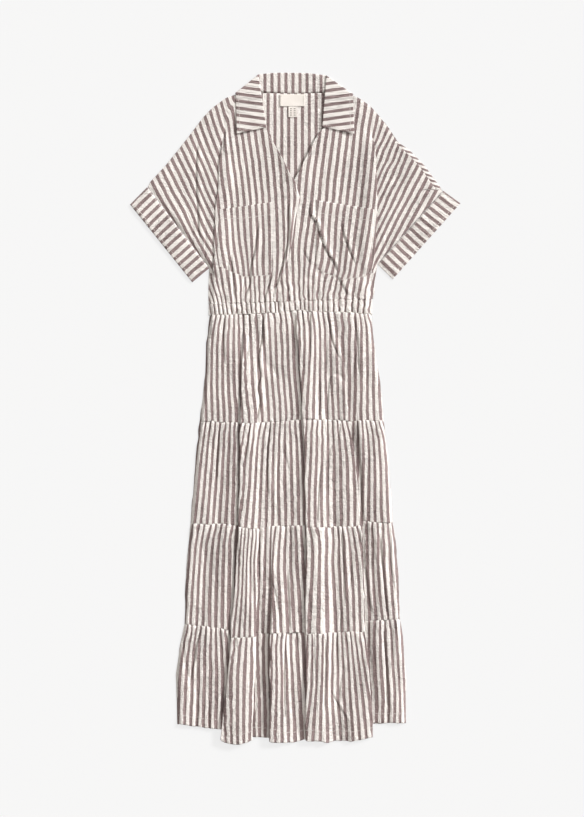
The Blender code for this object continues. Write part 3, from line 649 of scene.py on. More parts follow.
def fold_top(fold, inwards, ramp):
    """Height of the upper cloth at this distance inwards from its fold's edge."""
    return 2 * fold.rise * sharpness_of(fold) * (1 - smooth((inwards - fold.tuck - REST) / ramp))


def fold_run(fold):
    """(x, z, share of the right-hand cloth) of a fold's columns from left to right."""
    lead, reach, radius, level, upper = FOLD_SHAPE
    sharpness = sharpness_of(fold)
    turn = fold.rise / 2
    sharp_x = lead * FOLD_LEAD + reach * np.maximum(fold.tuck, SHARP_TUCK) + radius * turn
    x = mix(np.linspace(-FOLD_LEAD, FOLD_LEAD, FOLD_COLUMNS), sharp_x, sharpness)
    z = (level * turn + bank(-lead * FOLD_LEAD, *fold.hill)) * sharpness
    cloth = mix(smooth(np.linspace(0, 1, FOLD_COLUMNS)), upper, sharpness)
    if fold.over < 0:
        x, z, cloth = -x[:, ::-1], z[:, ::-1], 1 - cloth[:, ::-1]
    return fold.edge + x, z, cloth


def joined(parts, field):
    return np.concatenate([getattr(part, field) for part in parts], axis=1)


# Skirt
def skirt_side(down, right):
    downs, edges = [row[0] for row in SKIRT_SIDES], [row[1 + right] for row in SKIRT_SIDES]
    wave = 1.2 * ripples(down, right, 0.09, 1, 40 + right)
    return np.interp(down, downs, edges) + wave


def skirt_fold(index, down):
    """A fold, this far down the skirt. Its edge wanders a little below the waist."""
    _, over, edges, tucks, rise, hill, crumple = SKIRT_FOLDS[index]
    wave = 1.6 * ripples(down, index, 0.16, 1, 50) * smooth(down / FOLD_DOWN[1])
    edge, tuck = np.interp(down, FOLD_DOWN, edges) + wave, np.interp(down, FOLD_DOWN, tucks)
    return Fold(edge, tuck, over, rise, hill, crumple)


def crumpled(x, folds):
    """How far the cloth is crumpled beside the folds: most just right of an edge."""
    amount = 0 * x
    for fold in folds:
        away = np.abs(x - fold.edge - CRUMPLE_PLACE)
        amount += fading(away, fold.crumple, CRUMPLE_REACH) * sharpness_of(fold)
    return amount


def seam_height(seam, panel, share):
    left, right = SKIRT_PANELS[panel][seam]
    bow = SKIRT_PANELS[panel][5] if seam == TIERS else 0
    return left + (right - left) * share + bow * 4 * share * (1 - share)


def seam_jag(seam, x):
    """Puckers in a seam line, or waves in the hem."""
    if seam == TIERS:
        return 1.6 * ripples(x, 0, 16, 1, 61) + 0.6 * ripples(x, 0, 5, 1, 62)
    return 1.1 * ripples(x, seam, 5.5, 1, 60) + 0.8 * ripples(x, seam, 14, 1, 63)


def tier_guides(tier, panel):
    """The tier's guide stripes for a panel, from between the parting folds on its two sides."""
    heights, *rows = TIER_STRIPES[tier]
    left, right = -math.inf, math.inf
    for index, fold in enumerate(SKIRT_FOLDS):
        edge = float(skirt_fold(index, tier - 0.5).edge)
        if fold[0] in PARTING_FOLDS[tier] and index < panel:
            left = edge
        elif fold[0] in PARTING_FOLDS[tier]:
            right = min(right, edge)
    inside = [(row[0], tuple(zip(heights, row[1:]))) for row in rows if left < np.mean(row[1:]) < right]
    if len(inside) == 1:
        number, line = inside[0]
        inside.append((number + 1, tuple((height, x + NARROW_PITCH) for height, x in line)))
    return inside


def tier_number(tier, x, y, parts):
    """Stripe numbers of a tier's front, panel by panel. A fold's two cloths blend over its turns."""
    fields = [stripe_number(tier_guides(tier, panel), x, y) for panel in range(len(SKIRT_PANELS))]
    numbers, at = [], 0
    for part in parts:
        here = slice(at, at + part.x.shape[1])
        numbers.append(fields[part.panel][:, here])
        if part.cloth.any():
            numbers[-1] = mix(numbers[-1], fields[part.panel + 1][:, here], part.cloth)
        at = here.stop
    return np.concatenate(numbers, axis=1)


def skirt_relief(tier, x, y, below, above, number):
    """Height of a tier's gathers, which lift the pale stripes, and of its waves. below is the distance
    under its top seam, and above the distance over its bottom."""
    seed = 100 * tier
    medium_rise, broad_rise, pale_rise, fine_rise = (base + more * tier for base, more in TIER_WAVES)
    drift = 9 * ripples(x, y, 34, 90, seed)
    pale = puffs(number + 0.1 * ripples(x, y, 16, 40, seed + 5))
    uneven = 0.6 + 0.4 * ripples(x, y, 18, 50, seed + 1)
    medium = ripples(x + drift, y, 13, 75, seed + 2) * (0.35 + fading(below, 0.65, 70))
    broad = ripples(x + drift, y, 30, 170, seed + 3) * smooth(below / WAVE_START)
    height = pale * uneven * (fading(below, *TIER_GATHER) + fading(above, *TIER_FOOT_GATHER))
    height += medium_rise * medium + broad_rise * broad
    height += pale_rise * pale + fine_rise * ripples(x, y, 4.5, 11, seed + 6)
    puff = (1 - np.exp(-below / PUFF_START)) * fading(below, *TIER_PUFF)
    return height + puff - fading(above, *FOOT_DIP)


def clear_of(fold, on_top):
    """How far from a fold's edge the cloth beside it starts."""
    if fold.hill is None:
        return 0.0
    return FOLD_LEAD * (1 - sharpness_of(fold)) if on_top else FOLD_LEAD


def beside(fold, away, on_top, tier):
    """(rise, share of the relief, share of the air) of the cloth at this distance from a fold."""
    level = np.ones_like(away)
    if fold.hill is None:
        return 0 * away, level, level
    if on_top:
        return fold_top(fold, away, SKIRT_RAMP), level, level
    pressed = sharpness_of(fold)
    sunk = max(SINK_REACH + SINK_GROWTH * (tier - 1), fold.hill[0] * fold.hill[2] / 3)
    flat = 1 - pressed * (1 - smooth(away / PRESSED_REACH))
    raised = 1 - pressed * (1 - smooth(away / sunk))
    return bank(away, *fold.hill) * pressed, flat, raised


def stretch(tier, panel, left, right):
    """The columns between two folds, or between a fold and the skirt's side."""
    left_on_top, right_on_top = left.over > 0, right.over < 0
    start, end = left.edge + clear_of(left, left_on_top), right.edge - clear_of(right, right_on_top)
    count = max(LEAST_COLUMNS, round(float(np.mean(end - start)) / STRETCH_SPACING))
    at_side = (left.hill is None) + (right.hill is None)
    across = np.linspace(0, 1, count + 2 - at_side)
    across = across[0 if left.hill is None else 1 : None if right.hill is None else -1]
    x = start + (end - start) * across
    left_rise, left_flat, left_raised = beside(left, x - left.edge, left_on_top, tier)
    right_rise, right_flat, right_raised = beside(right, right.edge - x, right_on_top, tier)
    top, bottom = (seam_height(seam, panel, across) + 0 * x for seam in (tier - 1, tier))
    rise, flat, raised = left_rise + right_rise, left_flat * right_flat, left_raised * right_raised
    return Columns(x, rise, 0 * x, flat, raised, top, bottom, panel)


def fold_columns(tier, panel, fold):
    """The columns of the fold on a panel's right."""
    x, rise, cloth = fold_run(fold)
    along = np.linspace(0, 1, FOLD_COLUMNS)
    ends = [(seam_height(seam, panel, 1.0), seam_height(seam, panel + 1, 0.0)) for seam in (tier - 1, tier)]
    top, bottom = (mix(*end, along) + 0 * x for end in ends)
    flat = 1 - sharpness_of(fold) * (1 - (cloth if fold.over > 0 else 1 - cloth))
    return Columns(x, rise, cloth, flat, flat, top, bottom, panel)


def tier_parts(tier, down, folds):
    """A tier's columns from left to right: stretches of cloth, with a fold between each two."""
    left = Fold(skirt_side(down, 0) + SKIRT_INSET, 0 * down, 0, 0, None, 0)
    right = Fold(skirt_side(down, 1) - SKIRT_INSET, 0 * down, 0, 0, None, 0)
    edges = [left, *folds, right]
    parts = [stretch(tier, 0, left, folds[0])]
    for panel, fold in enumerate(folds):
        parts.append(fold_columns(tier, panel, fold))
        parts.append(stretch(tier, panel + 1, fold, edges[panel + 2]))
    return parts


def soft_top(z):
    """Heights over SOFT_TOP, eased so that none passes HIGHEST."""
    over = np.maximum(z - SOFT_TOP, 0)
    return z - over + (HIGHEST - SOFT_TOP) * np.tanh(over / (HIGHEST - SOFT_TOP))


def tier_height(x, down, parts, relief, crease, under_seam):
    """Height of a tier's front over the floor. The folds grow on their way down, and soften at the hem."""
    raised, flat = joined(parts, "raised"), joined(parts, "flat")
    from_side = np.minimum(x - x[:, :1], x[:, -1:] - x)
    growth = (1 + FOLD_GROWTH * down) / (1 + FOLD_GROWTH)
    rise = joined(parts, "rise") * growth * (1 - HEM_LOSS * smooth((down - TIERS + HEM_REACH) / HEM_REACH))
    air = SUNK_AIR + (SKIRT_AIR - SUNK_AIR) * raised
    z = FRONT_Z + rise + (air + relief + crease * flat) * smooth(from_side / SIDE_CALM)
    z = z - SIDE_DROP * (1 - smooth(from_side / SIDE_REACH))
    z = z - fading(np.maximum(under_seam, 0), SEAM_STEP, SEAM_STEP_REACH)
    return np.maximum(soft_top(z), BACK_Z + WALL + CLEARANCE)


def tier_front(tier):
    seed = 100 * tier
    share = shares_down(TIER_ROWS)
    down = tier - 1 + share
    folds = [skirt_fold(index, down) for index in range(len(SKIRT_FOLDS))]
    parts = tier_parts(tier, down, folds)
    x, flat = joined(parts, "x"), joined(parts, "flat")
    top = joined(parts, "top") + seam_jag(tier - 1, x)
    bottom = joined(parts, "bottom") + seam_jag(tier, x)
    y = top + SEAM_LAP - (top - bottom + SEAM_LAP) * share
    crumple = crumpled(x, folds)
    relief = skirt_relief(tier, x, y, top - y, y - bottom, tier_number(tier, x, y, parts))
    relief = (relief + CRUMPLE_RISE * crumple * ripples(x, y, 4, 7, seed + 50)) * flat
    shift, crease = np.add(press(x, y, SKIRT_CREASES[tier]), pinches(x, y, 26, 150, seed + 20))
    z = tier_height(x, down, parts, relief, crease, top - y)

    gathered = np.exp((y - top) / GATHER_REACH)
    x = x + shift * flat
    number = tier_number(tier, crowded(x, relief), y, parts) + wobble(x, y, seed + 30)
    number += 0.18 * ripples(x, y, 9, 16, seed + 40) * gathered
    number += CRUMPLE_SHIFT * crumple * ripples(x, y, 6, 8, seed + 60)
    # Painted shade: the pale stripes narrow each tier down and where the cloth is sunk beside a fold, which
    # darkens the cloth there
    hidden = PAINTED_SHADE_GROWTH * (tier - 1) + SUNK_PAINTED_SHADE * (1 - joined(parts, "raised"))
    return np.stack([x, y, z], axis=2), pucker(number, gathered + fading(y - bottom, 0.6, 14) - hidden)


def tier_back(tier):
    """The underside rests flat, and its gathers press up between the parts that touch."""
    share = shares_down(BACK_TIER_ROWS)
    across = np.linspace(0, 1, BACK_TIER_COLUMNS)[None, :]
    down = tier - 1 + share
    x = skirt_side(down, 0) * (1 - across) + skirt_side(down, 1) * across
    ends = [mix(SKIRT_PANELS[0][seam][0], SKIRT_PANELS[-1][seam][1], across) for seam in (tier - 1, tier)]
    bow = BACK_HEM_SAG * smooth((across - 0.15) / 0.2) * smooth((0.85 - across) / 0.2)
    top = ends[0] + bow * (tier - 1) / TIERS
    bottom = ends[1] + bow * tier / TIERS + (seam_jag(TIERS, x) if tier == TIERS else 0)
    y = top - BUTT + (bottom - top + 2 * BUTT) * share
    hollow = np.maximum(ripples(x, y, 6, 40, 700 + tier), 0) * fading(top - y, 1, 40)
    hollow += 0.6 * np.maximum(ripples(x, y, 16, 110, 710 + tier), 0)
    z = BACK_Z + 0.45 * hollow * smooth(np.minimum(across, 1 - across) / 0.05)
    number = (x - BACK_MIDDLE) / (PITCH * (0.84 + 0.02 * share)) + 0.1 * ripples(x, y, 20, 60, 720 + tier)
    return np.stack([x, y, z + 0 * x], axis=2), number


# Tubes
def tube_path(start, end, radius, back_count, front_count, turn_count):
    """(place, height, 1 on the front and 0 elsewhere) round a flattened tube, back first."""
    angles = np.linspace(-QUARTER, QUARTER, turn_count + 2)[1:-1]
    back, ahead = np.linspace(start, end, back_count), np.linspace(end, start, front_count)
    out, up = radius * np.cos(angles), radius * np.sin(angles)
    place = np.concatenate([back, end + out, ahead, start - out])
    height = np.concatenate([0 * back, radius + up, 0 * ahead + 2 * radius, radius - up])
    on_front = np.concatenate([0 * back, 0 * out, 0 * ahead + 1, 0 * out])
    return place, height, on_front


def casing_top(x):
    return curve(CASING_TOP, x) + 0.7 * ripples(x, 0, 5.5, 1, 64)


def waist_height(x):
    """The waist seam: straight over each panel, level over each fold, and puckered."""
    starts = [fold[2][0] + step for fold in SKIRT_FOLDS for step in (-FOLD_LEAD, FOLD_LEAD)]
    places = [SKIRT_SIDES[0][1], *starts, SKIRT_SIDES[0][2]]
    return np.interp(x, places, [height for panel in SKIRT_PANELS for height in panel[0]]) + seam_jag(0, x)


def casing_number(x, y):
    """Stripes run on from the fronts, and lean inwards on their way down."""
    top = casing_top(x)
    above = x + curve(CASING_LEAN, x) * (top - y)
    return np.where(x < LAP_FOOT, body_number(-1, above, top + 0 * y), body_number(1, above, top + 0 * y))


def waistband():
    """The casing: along the back, round one side, along the front and round the other."""
    _, left, right = SKIRT_SIDES[0]
    radius = (CASING_Z - BACK_Z) / 2
    xs, lift, on_front = tube_path(left, right, radius, CASING_BACK, CASING_FRONT, CASING_TURN)
    share = shares_down(CASING_ROWS)
    top = np.where(on_front > 0, casing_top(xs) + SEAM_LAP, curve(CASING_TOP, xs) - BUTT)
    bottom = np.where(on_front > 0, waist_height(xs), np.interp(xs, (left, right), CASING_FOOT)) + BUTT
    y = top + (bottom - top) * share
    ends = smooth(np.minimum(xs - left, right - xs) / CASING_CALM)
    number = casing_number(xs, y)
    pale = puffs(number + 0.06 * ripples(xs, y, 14, 40, 80))
    front = CASING_AIR + CASING_PUFF * np.sin(math.pi * share) ** 0.7
    front = front + CASING_PALE * pale * (0.7 + 0.3 * ripples(xs, y, 12, 30, 81))
    front += 0.5 * ripples(xs, y, 20, 40, 82) + 1.0 * ripples(xs, y, 8, 9, 85)
    behind = 0.25 * np.maximum(ripples(xs, y, 5, 30, 83), 0)
    z = BACK_Z + lift + ends * mix(behind, front, on_front)
    number = pucker(number, CASING_PUCKER) + 0.15 * ripples(xs, y, 8, 9, 84)
    return np.stack([xs + 0 * y, y, z], axis=2), number


def cuff_plan(name, share, along):
    """(x, y) of a cuff's points, at shares of its length and, from the seam to the edge, of its width."""
    seams, edges = np.split(np.array(CUFFS[name], float)[:, :, None, None], 2)
    gap = CUFF_GAP * (edges[0] - seams[0]) / np.hypot(*(edges[0] - seams[0]))
    return mix(*(mix(seam, edge, along) + gap * (1 - along) for seam, edge in zip(seams, edges)), share)


def cuff(name):
    """A cuff, open at both ends. Its stripes run across it, from the seam to the edge."""
    seam_top, seam_bottom, edge_top, _ = CUFFS[name]
    half = (CUFF_Z - BACK_Z) / 2
    length, band = math.dist(seam_top, seam_bottom), math.dist(edge_top, seam_top)
    travel, lift, on_front = tube_path(half, length - half, half, CUFF_COLUMNS, CUFF_COLUMNS, CUFF_TURN)
    along = shares_down(CUFF_ROWS)
    from_edge, from_seam = (1 - along) * band, along * band
    seed = 400 if name == "cuff_right" else 420
    ends = smooth(np.minimum(travel, length - travel) / CUFF_END)
    front = CUFF_AIR + CUFF_PUFF * smooth(from_edge / 4) * smooth(from_seam / 5)
    waves = 0.8 * ripples(travel, from_edge, 14, 30, seed)
    waves += 0.4 * ripples(travel, from_edge, 6, 14, seed + 1)
    front = front + waves * smooth(from_edge / 3)
    front = front - 0.7 * bell(from_seam, 1.8) - 0.3 * bell(from_edge - 6, 1.2)
    behind = 0.3 * np.maximum(ripples(travel, from_edge, 9, 20, seed + 2), 0)
    z = BACK_Z + lift + ends * mix(behind, front, on_front)
    number = travel / CUFF_PITCH + 0.05 * ripples(travel, from_edge, 20, 20, seed + 3)
    return np.stack([*cuff_plan(name, travel / length, along), z], axis=2), pucker(number, 0.15)


# Bodice
def neck_lift(x, height):
    upwards = smooth((height - NECK_LIFT_FOOT) / NECK_LIFT_RUN)
    return NECK_LIFT * upwards * smooth((NECK_LIFT_SIDE - np.abs(x)) / NECK_LIFT_FADE)


def row_heights(count):
    """Heights at which the tables are read. The last row follows the casing."""
    return BODICE_TOP + (BODICE_FOOT - BODICE_TOP) * shares_down(count)


def settle(x, height):
    """Real height of a row's point: the lowest rows bend to the casing's slanted top."""
    near = smooth((SLANT_START - height) / (SLANT_START - BODICE_FOOT))
    return height + (casing_top(x) + BUTT - BODICE_FOOT) * near


def lap_rise(x, height):
    """How much one front rises where it lies over the other."""
    over = smooth((x - curve(FRONT_EDGE[1], height) + LAP_REACH) / LAP_RAMP)
    return LAP_RISE * over * smooth((LAP_START - height) / LAP_FADE)


def under_lap(x, height):
    """From 0 to 1 where the other front lies under it."""
    hidden = smooth((curve(FRONT_EDGE[-1], height) - x - UNDER_START) / UNDER_RUN)
    return hidden * smooth((LAP_START - height) / LAP_FADE)


def front_air(y):
    """Air under a front: little where it lies on the shoulders, more where it is gathered."""
    return CHEST_AIR + (AIR - CHEST_AIR) * smooth((AIR_TOP - y) / AIR_RUN)


def body_number(side, x, y):
    """Stripe numbers of a front's body. On the right they change at the main crease."""
    upper = stripe_number(BODY_STRIPES[side], x, y)
    if side < 0:
        return upper
    crease = BODICE_CREASES[side][0][0]
    low = (x < curve(crease, y)) & (y < crease[0][0]) | (y < crease[-1][0])
    return np.where(low, stripe_number(LOW_STRIPES, x, y), upper)


def body_relief(side, x, y):
    """Soft waves of a front, and gathers over the casing that lift the pale stripes."""
    seed = 200 + 10 * side
    over = np.maximum(y - casing_top(x), 0)
    drift = 6 * ripples(x, y, 30, 80, seed)
    pale = puffs(body_number(side, x, y) + 0.08 * ripples(x, y, 14, 40, seed + 4))
    height = pale * (0.6 + 0.4 * ripples(x, y, 16, 40, seed + 1)) * fading(over, *WAIST_GATHER)
    height += ripples(x, y, 8, 12, seed + 6) * fading(over, *WAIST_CRUMPLE)
    height += ripples(x + drift, y, 14, 60, seed + 2) * fading(over, *WAIST_WAVE)
    height += BODY_WAVE * ripples(x, y, 26, 90, seed + 3) + BODY_CRINKLE * ripples(x, y, 4.5, 14, seed + 5)
    return height + BODY_PALE * pale


def front_creases(side, x, y):
    """(sideways shift, rise) of a front's placed creases, and of its small ones low down."""
    low = smooth((PINCHES_TOP - y) / PINCHES_RUN)
    small = pinches(x, y, 24, 110, 260 + 10 * side)
    return np.add(press(x, y, BODICE_CREASES[side]), np.multiply(small, low))


def back_strip(side, height):
    """Width of the back's cloth that shows along the top of one sleeve."""
    return STRIP_WIDTH * smooth((STRIP_TOP - height) / STRIP_FADE) * (height > STRIP_FOOT) * (side > 0)


def sleeve_columns(side, height, fold, strip):
    """From the sleeve's outer edge to the armhole."""
    outer = at_height(OUTER_EDGE[side], height) - side * FRONT_INSET
    strip_x = outer - strip * np.linspace(0, 1, STRIP_COLUMNS)
    seam_x = strip_x[:, -1:] - side * 0.2
    across = np.linspace(0, 1, SLEEVE_COLUMNS, endpoint=False)
    x = np.concatenate([strip_x, seam_x + (fold.edge + side * FOLD_LEAD - seam_x) * across], axis=1)
    away, sharpness = np.abs(x - fold.edge), sharpness_of(fold)
    flat = 1 - sharpness * (1 - smooth(away / PRESSED_REACH))
    return Columns(x, bank(away, *ARM_BANK) * sharpness, 0 * x, flat)


def body_columns(side, height, fold):
    """From the armhole to the front edge."""
    width = np.abs(curve(FRONT_EDGE[side], height) - fold.edge)
    start = np.minimum(FOLD_LEAD * (1 - sharpness_of(fold)), width / 2)
    steps = start + (width - start) * np.linspace(0, 1, BODY_COLUMNS + 1)[1:]
    return Columns(fold.edge - side * steps, fold_top(fold, steps, ARM_RAMP), 0 * steps + 1, 0 * steps + 1)


def front_columns(side, height, strip):
    """A front's columns: the sleeve, the body's fold over it at the armhole, and the body."""
    edge = at_height(ARMHOLE[side], height) + 1.2 * ripples(height, side, 22, 1, 90)
    fold = Fold(edge, at_height(ARMHOLE[side], height, 2), 1, ARM_FOLD, ARM_BANK, 0)
    fold_x, rise, cloth = fold_run(fold._replace(edge=0 * edge))
    turned = Columns(edge - side * fold_x, rise, cloth, 1 - sharpness_of(fold) * (1 - cloth))
    return [sleeve_columns(side, height, fold, strip), turned, body_columns(side, height, fold)]


def front_height(side, x, y, height, strip, parts, relief, crease):
    """Height of a front over the floor. One front rises over the other, which lies low below it."""
    from_side, from_front = np.abs(x - x[:, :1]), np.abs(x - x[:, -1:])
    calm = smooth(from_side / FRONT_CALM)
    held = calm * mix(EDGE_SHARE, 1, smooth(from_front / EDGE_CALM))
    stand = fading(from_front, EDGE_STAND, EDGE_REACH)
    stand = stand * smooth((height - STAND_FOOT) / STAND_RUN) * smooth((STAND_TOP - height) / STAND_FADE)
    lifted = neck_lift(x, height)
    z = FRONT_Z + lifted + joined(parts, "rise") + stand
    z = z + (front_air(y) + relief) * held + crease * joined(parts, "flat") * calm
    z = z - SIDE_DROP * (1 - smooth(from_side / SIDE_REACH))
    z = z - SEAM_DIP * bell(from_side - strip, SEAM_WIDTH) * (strip > 1)
    lowest = BACK_Z + lifted + WALL + CLEARANCE
    if side > 0:
        return np.maximum(mix(z, UNDER_Z, under_lap(x, height)), lowest)
    over = lap_rise(x, height)
    return np.maximum(z + over, lowest + 0.8 * over)


def front_number(side, x, y, height, strip, parts, relief):
    """Stripe numbers of the body, of the sleeve and of the strip of the back along the sleeve's top."""
    lying = crowded(x, relief)
    body = body_number(side, lying, y)
    sleeve = np.where(height < UNDERARM, body, stripe_number(SLEEVE_STRIPES[side], lying, y))
    on_strip = (np.arange(x.shape[1]) < STRIP_COLUMNS) & (strip > 1)
    along = -(x * math.sin(STRIP_TILT) + y * math.cos(STRIP_TILT)) / STRIP_PITCH
    sleeve = np.where(on_strip, along, sleeve)
    near_casing = fading(y - casing_top(x), 1, WAIST_REACH)
    wander = wobble(x, y, 280 + 10 * side) + 0.22 * ripples(x, y, 9, 12, 290 + side) * near_casing
    return pucker(mix(sleeve, body, joined(parts, "cloth")) + wander, near_casing)


def front(side):
    """A front with its sleeve, from the outer edge to the front edge."""
    height = row_heights(FRONT_ROWS)
    strip = back_strip(side, height)
    parts = front_columns(side, height, strip)
    x, flat = joined(parts, "x"), joined(parts, "flat")
    y = settle(x, height + 0 * x)
    relief = body_relief(side, x, y) * flat
    shift, crease = front_creases(side, x, y)
    z = front_height(side, x, y, height, strip, parts, relief, crease)
    x = x + shift * flat
    return np.stack([x, y, z], axis=2), front_number(side, x, y, height, strip, parts, relief)


def back_bodice():
    height = row_heights(BACK_ROWS)
    left, right = (at_height(OUTER_EDGE[side], height) - side * BACK_INSET for side in (-1, 1))
    x = left + (right - left) * np.linspace(0, 1, BACK_COLUMNS)
    y = settle(x, height + 0 * x)
    ends = smooth(np.minimum(x - left, right - x) / 15)
    hollow = 0.5 * np.maximum(ripples(x, y, 18, 70, 300), 0)
    hollow += 0.3 * np.maximum(ripples(x, y, 7, 30, 301), 0)
    crease = press(x, y, (BACK_CREASE,))[1]
    z = BACK_Z + neck_lift(x, height) + np.maximum(0.5 * hollow + crease, 0) * ends
    y = y + NECK_LAP * smooth((height - LAP_TOP) / 8) * (np.abs(x - COLLAR_NECK[0]) < LAP_SIDE)
    arm = np.maximum(np.abs(x) - BACK_ARM, 0)
    spread = arm * 0.05 - smooth(arm / 60) * (y - 440) * 0.03
    return np.stack([x, y, z], axis=2), pucker((x - BACK_MIDDLE) / BACK_PITCH + np.sign(x) * spread, 0.3)


def pocket(name):
    """A patch pocket, which lies on its front and takes the front's relief and creases."""
    side = -1 if name == "pocket_right" else 1
    inner_x, gap, top_in, top_out, low_in, low_mid, low_out = POCKETS[name]
    share, inwards = shares_down(POCKET_GRID), np.linspace(0, 1, POCKET_GRID)[None, :]
    edge = at_height(ARMHOLE[side], (top_in + top_out) / 2 * (1 - share) + low_mid * share)
    x = (edge - side * gap) * (1 - inwards) + inner_x * inwards
    top = top_out + (top_in - top_out) * inwards
    low = np.interp(inwards, (0, 0.5, 1), (low_out, low_mid, low_in))
    y = top * (1 - share) + low * share
    fold = Fold(at_height(ARMHOLE[side], y), at_height(ARMHOLE[side], y, 2), 1, ARM_FOLD, ARM_BANK, 0)
    steps = np.abs(x - fold.edge)
    shift, crease = front_creases(side, x, y)
    z = FRONT_Z + fold_top(fold, steps, ARM_RAMP) + front_air(y) + body_relief(side, x, y) + crease
    over = lap_rise(x, y) if side < 0 else 0
    z = np.maximum(z + over, BACK_Z + 2 * (WALL + CLEARANCE) + 0.8 * over)
    from_edge = np.minimum(np.minimum(steps - gap, np.abs(x - inner_x)), y - low)
    hem = fading(top - y, HEM_RIDGE, POCKET_HEM) - HEM_GROOVE * bell(top - y - POCKET_HEM, 1.6)
    z = z + POCKET_LIFT * smooth(from_edge / POCKET_EDGE) + hem
    z = z - fading(np.maximum(y - low, 0), POCKET_DIP, POCKET_DIP_REACH)
    number = body_number(side, x + shift, y) + wobble(x, y, 280 + 10 * side) + POCKET_STRIPES
    return np.stack([x + shift, y, z], axis=2), number


# Collar
def collar_section(neck, fold, outer, stand_z, radius, fall_z, edge_z):
    """One section: up the stand, over the fold, and down the fall to its edge."""
    to_neck, to_outer = neck - fold, outer - fold
    neck_reach, fall_reach = np.hypot(*to_neck), np.hypot(*to_outer)
    to_neck, to_outer = to_neck / neck_reach, to_outer / fall_reach
    section = []
    for step in np.linspace(neck_reach, radius, STAND_COLUMNS):
        section.append((*(fold + to_neck * step), stand_z))
    for angle in np.linspace(0, math.pi, ROLL_COLUMNS + 2)[1:-1]:
        out = radius * (1 - math.sin(angle))
        direction = to_neck if angle < QUARTER else to_outer
        level = stand_z + (fall_z - stand_z) * (1 - math.cos(angle)) / 2
        section.append((*(fold + direction * out), level))
    for step in np.linspace(radius, fall_reach, FALL_COLUMNS):
        part = (step - radius) / (fall_reach - radius)
        section.append((*(fold + to_outer * step), fall_z + (edge_z - fall_z) * smooth(part)))
    return section


def wing_sections(end, tip, shoulder, corner, neck):
    """From a wing's end to the corner where the fold reaches the shoulder."""
    sections = []
    neck_start = mix(end, tip, NECK_INSET)
    for share in np.linspace(0, 1, WING_SECTIONS):
        level = STAND_Z + NECK_LIFT * min(1.0, 0.4 + share * 1.4)
        edge_z = level + FALL_GAP + WING_LIFT * smooth(1 - share / 0.5)
        plan = mix(neck_start, neck, share), mix(end, corner, share), mix(tip, shoulder, share)
        sections.append(collar_section(*plan, level, WING_ROLL, level + 2 * WING_ROLL, edge_z))
    return sections


def turn_sections(shoulder, corner, neck, inwards):
    """Round the shoulder, where the fall's edge turns under to lie behind the dress."""
    line = (shoulder - corner) / math.dist(shoulder, corner)
    outwards = np.array([line[1], -line[0]])
    outwards *= math.copysign(1.0, outwards[1])
    top_edge = STAND_TOP_Z + FALL_GAP
    middle, away = (BACK_Z + top_edge) / 2, (top_edge - BACK_Z) / 2
    sections = []
    for angle in np.linspace(0, math.pi, TURN_SECTIONS + 1)[1:]:
        part = angle / math.pi
        step = inwards * part
        turned = shoulder + outwards * away * math.sin(angle) - line * 2 * part
        level = middle + away * math.cos(angle)
        fall = mix(STAND_TOP_Z + 2 * WING_ROLL, level, smooth(part * 1.4))
        stand = STAND_TOP_Z - STAND_DROP * part
        sections.append(collar_section(neck + step, corner + step, turned, stand, TURN_ROLL, fall, level))
    return sections


def back_sections(shoulder, corner, neck, inwards):
    """From the shoulder to the middle of the back neck."""
    sections = []
    for share in np.linspace(0, 1, BACK_SECTIONS + 1)[1:]:
        fold = mix(corner + inwards, COLLAR_TOP, share)
        fold[1] += CROWN * math.sin(math.pi * share)
        outer = mix(shoulder, COLLAR_OUTER, share)
        here = mix(neck + inwards, COLLAR_NECK, min(share * 1.3, 1.0))
        here[1] = max(here[1], COLLAR_NECK[1])
        stand = mix(STAND_TOP_Z - STAND_DROP, BACK_Z + 2 * BACK_ROLL, smooth(share * 4))
        sections.append(collar_section(here, fold, outer, stand, BACK_ROLL, BACK_Z, BACK_Z))
    return sections


def collar_half(side):
    """Sections from the wing's end to the middle of the back neck."""
    end, tip, shoulder, corner, neck = np.array(COLLAR_SIDES[side], float)
    inwards = np.array([-side * STEP_IN, STEP_UP])
    wing = wing_sections(end, tip, shoulder, corner, neck)
    turn = turn_sections(shoulder, corner, neck, inwards)
    return wing + turn + back_sections(shoulder, corner, neck, inwards)


def collar_number(x, y, in_wing):
    """Stripes cross each wing, a little down towards the neck, and stand upright on the back."""
    across = y * math.cos(WING_TILT) - np.abs(x) * math.sin(WING_TILT)
    wing = (across - np.where(x < 0, *WING_STRIPES)) / WING_PITCH
    return np.where(in_wing, wing, (x - BACK_STRIPE) / WING_PITCH)


def collar():
    points = np.array(collar_half(-1) + collar_half(1)[::-1][1:])
    sections, columns = points.shape[:2]
    x, y, z = np.moveaxis(points, 2, 0)
    from_end = np.minimum(np.arange(sections), sections - 1 - np.arange(sections))[:, None]
    column = np.arange(columns)[None, :]
    in_wing = from_end < WING_SECTIONS
    turning = (from_end < WING_SECTIONS + TURN_SECTIONS) & (column >= STAND_COLUMNS + ROLL_COLUMNS // 2)
    number = collar_number(x, y, in_wing | turning)
    z = z + 0.5 * ripples(x, y, 16, 22, 500) * smooth((z - 3.0) / 2.0)
    behind = smooth((from_end - WING_SECTIONS - TURN_SECTIONS) / 3)
    z = z - NECK_DIP * behind * np.clip(1 - column / (STAND_COLUMNS - 1), 0, 1) ** 3
    return np.stack([x, y, z], axis=2), pucker(number, 0.35)


def label(name):
    centre, top, width, length = LABELS[name]
    y = top - length * shares_down(LABEL_ROWS)
    x = centre + width * np.linspace(-0.5, 0.5, LABEL_COLUMNS)[None, :]
    curl = LABEL_CURL * ((x - centre) / width * 2) ** 4
    x, y = np.broadcast_arrays(x, y)
    z = BACK_Z + neck_lift(x, y) + LABEL_RISE + curl + LABEL_WAVE * ripples(x, y, 12, 9, 600)
    return np.stack([x, y, z], axis=2), x / PITCH


